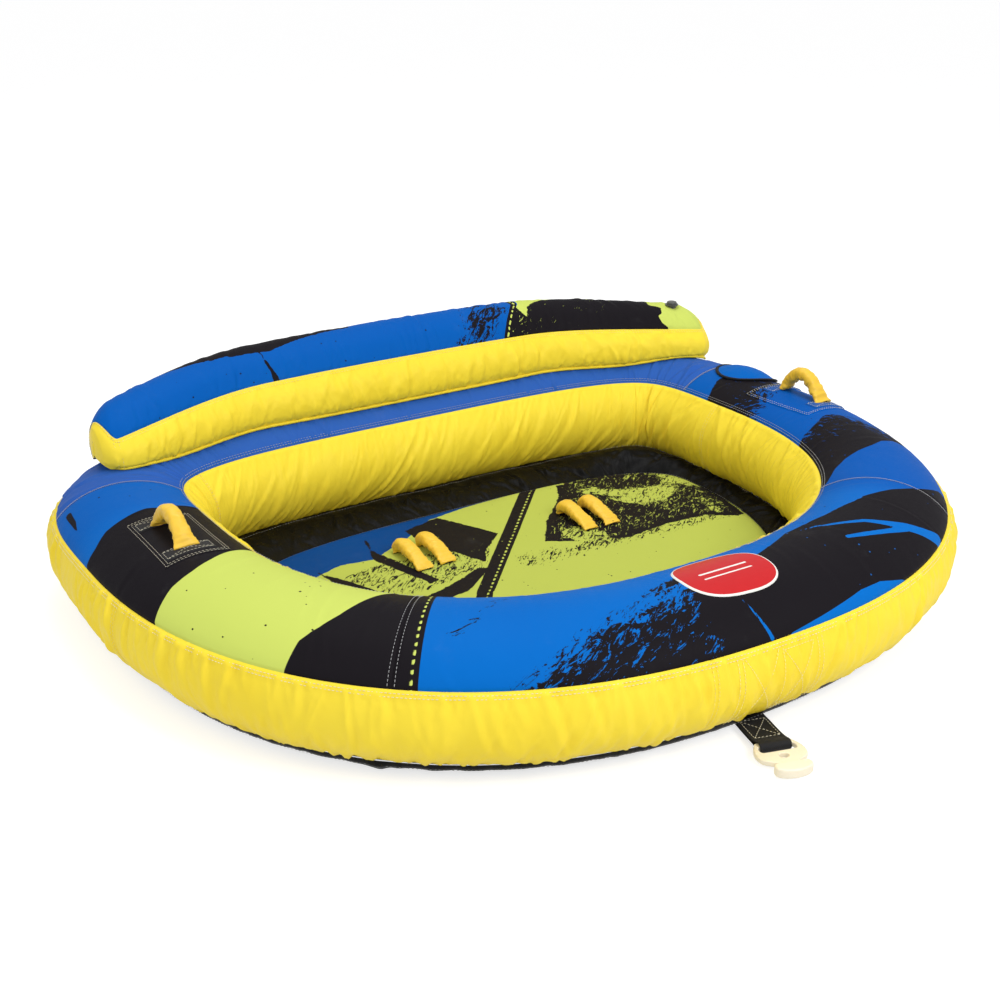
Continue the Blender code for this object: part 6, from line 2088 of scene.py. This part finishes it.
def build_bow_stitches():
    middle = RING.nearest(-0.028, -0.71)
    lines = []
    for corners in BOW_LINES:
        line = polyline([(middle + offset, angle) for offset, angle in corners], 40)
        lines.append((*ring(line[:, 0], np.radians(line[:, 1]), 0.0022), False))
    stitches("bow_reinforcement_stitches", lines, THREAD_FAINT, radius=0.0005, gap=0.0016)


# ---------------------------------------------------------------- pieces kept from the frame
def dress_frame_pieces():
    valve = plain_material("valve_plastic", srgb(92, 92, 90), srgb(70, 70, 70), rough=0.28)
    tape = strap_material("zip_tape_cloth", srgb(24, 24, 26), srgb(14, 14, 16), pitch=0.0010)
    metal = plain_material("zip_metal", srgb(150, 152, 156), srgb(120, 122, 126), rough=0.30,
                           metal=1.0)
    for place in ("ring", "backrest", "floor"):
        for part in ("body", "cap"):
            name = f"{place}_valve_{part}"
            if name in NODES:
                dress(NODES[name], valve, ())
    dress(NODES["zip_tape"], tape, ())
    dress(NODES["zip_slider"], metal, ())


# ---------------------------------------------------------------- stage
def camera_level(tree, unseen, seen):
    """A strength for rays that don't come from the camera, and another for those that do."""
    rays = tree.nodes.new("ShaderNodeLightPath")
    level = tree.nodes.new("ShaderNodeMapRange")
    level.inputs["To Min"].default_value = unseen
    level.inputs["To Max"].default_value = seen
    tree.links.new(rays.outputs["Is Camera Ray"], level.inputs["Value"])
    return level.outputs["Result"]


def build_stage_floor():
    g = Graph("floor_paper")
    tone = g.noise(g.position(), scale=1.5, detail=2.0)
    g.done(g.mix(tone, (0.50, 0.50, 0.50), (0.485, 0.485, 0.49)), rough=0.85, spec=0.05)
    g.bsdf.inputs["Emission Color"].default_value = (1, 1, 1, 1)
    # reads as white paper, but throws less light back on the tube than it shows
    g.put(g.bsdf.inputs["Emission Strength"], camera_level(g.tree, unseen=0.34, seen=0.70))
    corners = ((-30, -30), (30, -30), (30, 30), (-30, 30))
    floor = mesh_object("stage_floor", [(x, y, -0.0005) for x, y in corners], [(0, 1, 2, 3)])
    assign(floor, g.mat)


def build_lights():
    world = bpy.data.worlds.new("studio")
    scene.world = world
    world.use_nodes = True
    sky = world.node_tree.nodes["Background"]
    sky.inputs[0].default_value = (1.0, 1.0, 1.0, 1)
    world.node_tree.links.new(camera_level(world.node_tree, unseen=0.58, seen=1.0),
                              sky.inputs[1])
    aim = Vector((0, 0, 0.1))
    # name, place, size in metres, power in watts
    for name, place, size, power in (("key", (0.8, -3.4, 3.0), 1.7, 84.0),
                                     ("fill", (-3.2, -1.4, 2.5), 2.4, 26.0),
                                     ("top", (0.2, 0.6, 4.2), 2.4, 60.0)):
        data = bpy.data.lights.new(name, "AREA")
        data.energy, data.size = power, size
        lamp = bpy.data.objects.new(name, data)
        lamp.location = Vector(place) + SHIFT
        lamp.rotation_euler = (aim - Vector(place)).to_track_quat("-Z", "Y").to_euler()
        scene.collection.objects.link(lamp)


def build_camera():
    azimuth, elevation = math.radians(-33.189), math.radians(22.574)
    backwards = Vector((math.sin(azimuth) * math.cos(elevation),
                        -math.cos(azimuth) * math.cos(elevation), math.sin(elevation)))
    camera = bpy.data.objects.new("camera", bpy.data.cameras.new("camera"))
    camera.data.lens, camera.data.sensor_width = 50.09, 36.0
    camera.data.clip_start, camera.data.clip_end = 0.05, 100.0
    camera.location = Vector((-1.45759, -2.23451, 1.22654)) + SHIFT
    camera.rotation_euler = (-backwards).to_track_quat("-Z", "Y").to_euler()
    scene.collection.objects.link(camera)
    scene.camera = camera
    scene.view_settings.view_transform = "Standard"
    scene.view_settings.look = "None"


# ---------------------------------------------------------------- build
build_ring_top()
build_outer_band()
build_inner_wall()
build_ring_base()
build_ring_bladder()
build_ring_stitches()
build_lower_seam()
build_back_covers()
build_back_ends()
build_back_bladder()
build_back_stitches()
build_back_piping()
build_deck()
build_deck_underside()
build_deck_bladder()
build_deck_stitches()
build_floor_skirt()
build_handle_patches()
build_grips()
build_valve_flap()
build_badge()
build_tow_strap()
build_hook()
build_tow_anchor()
build_bow_stitches()
dress_frame_pieces()
build_stage_floor()
build_lights()
build_camera()
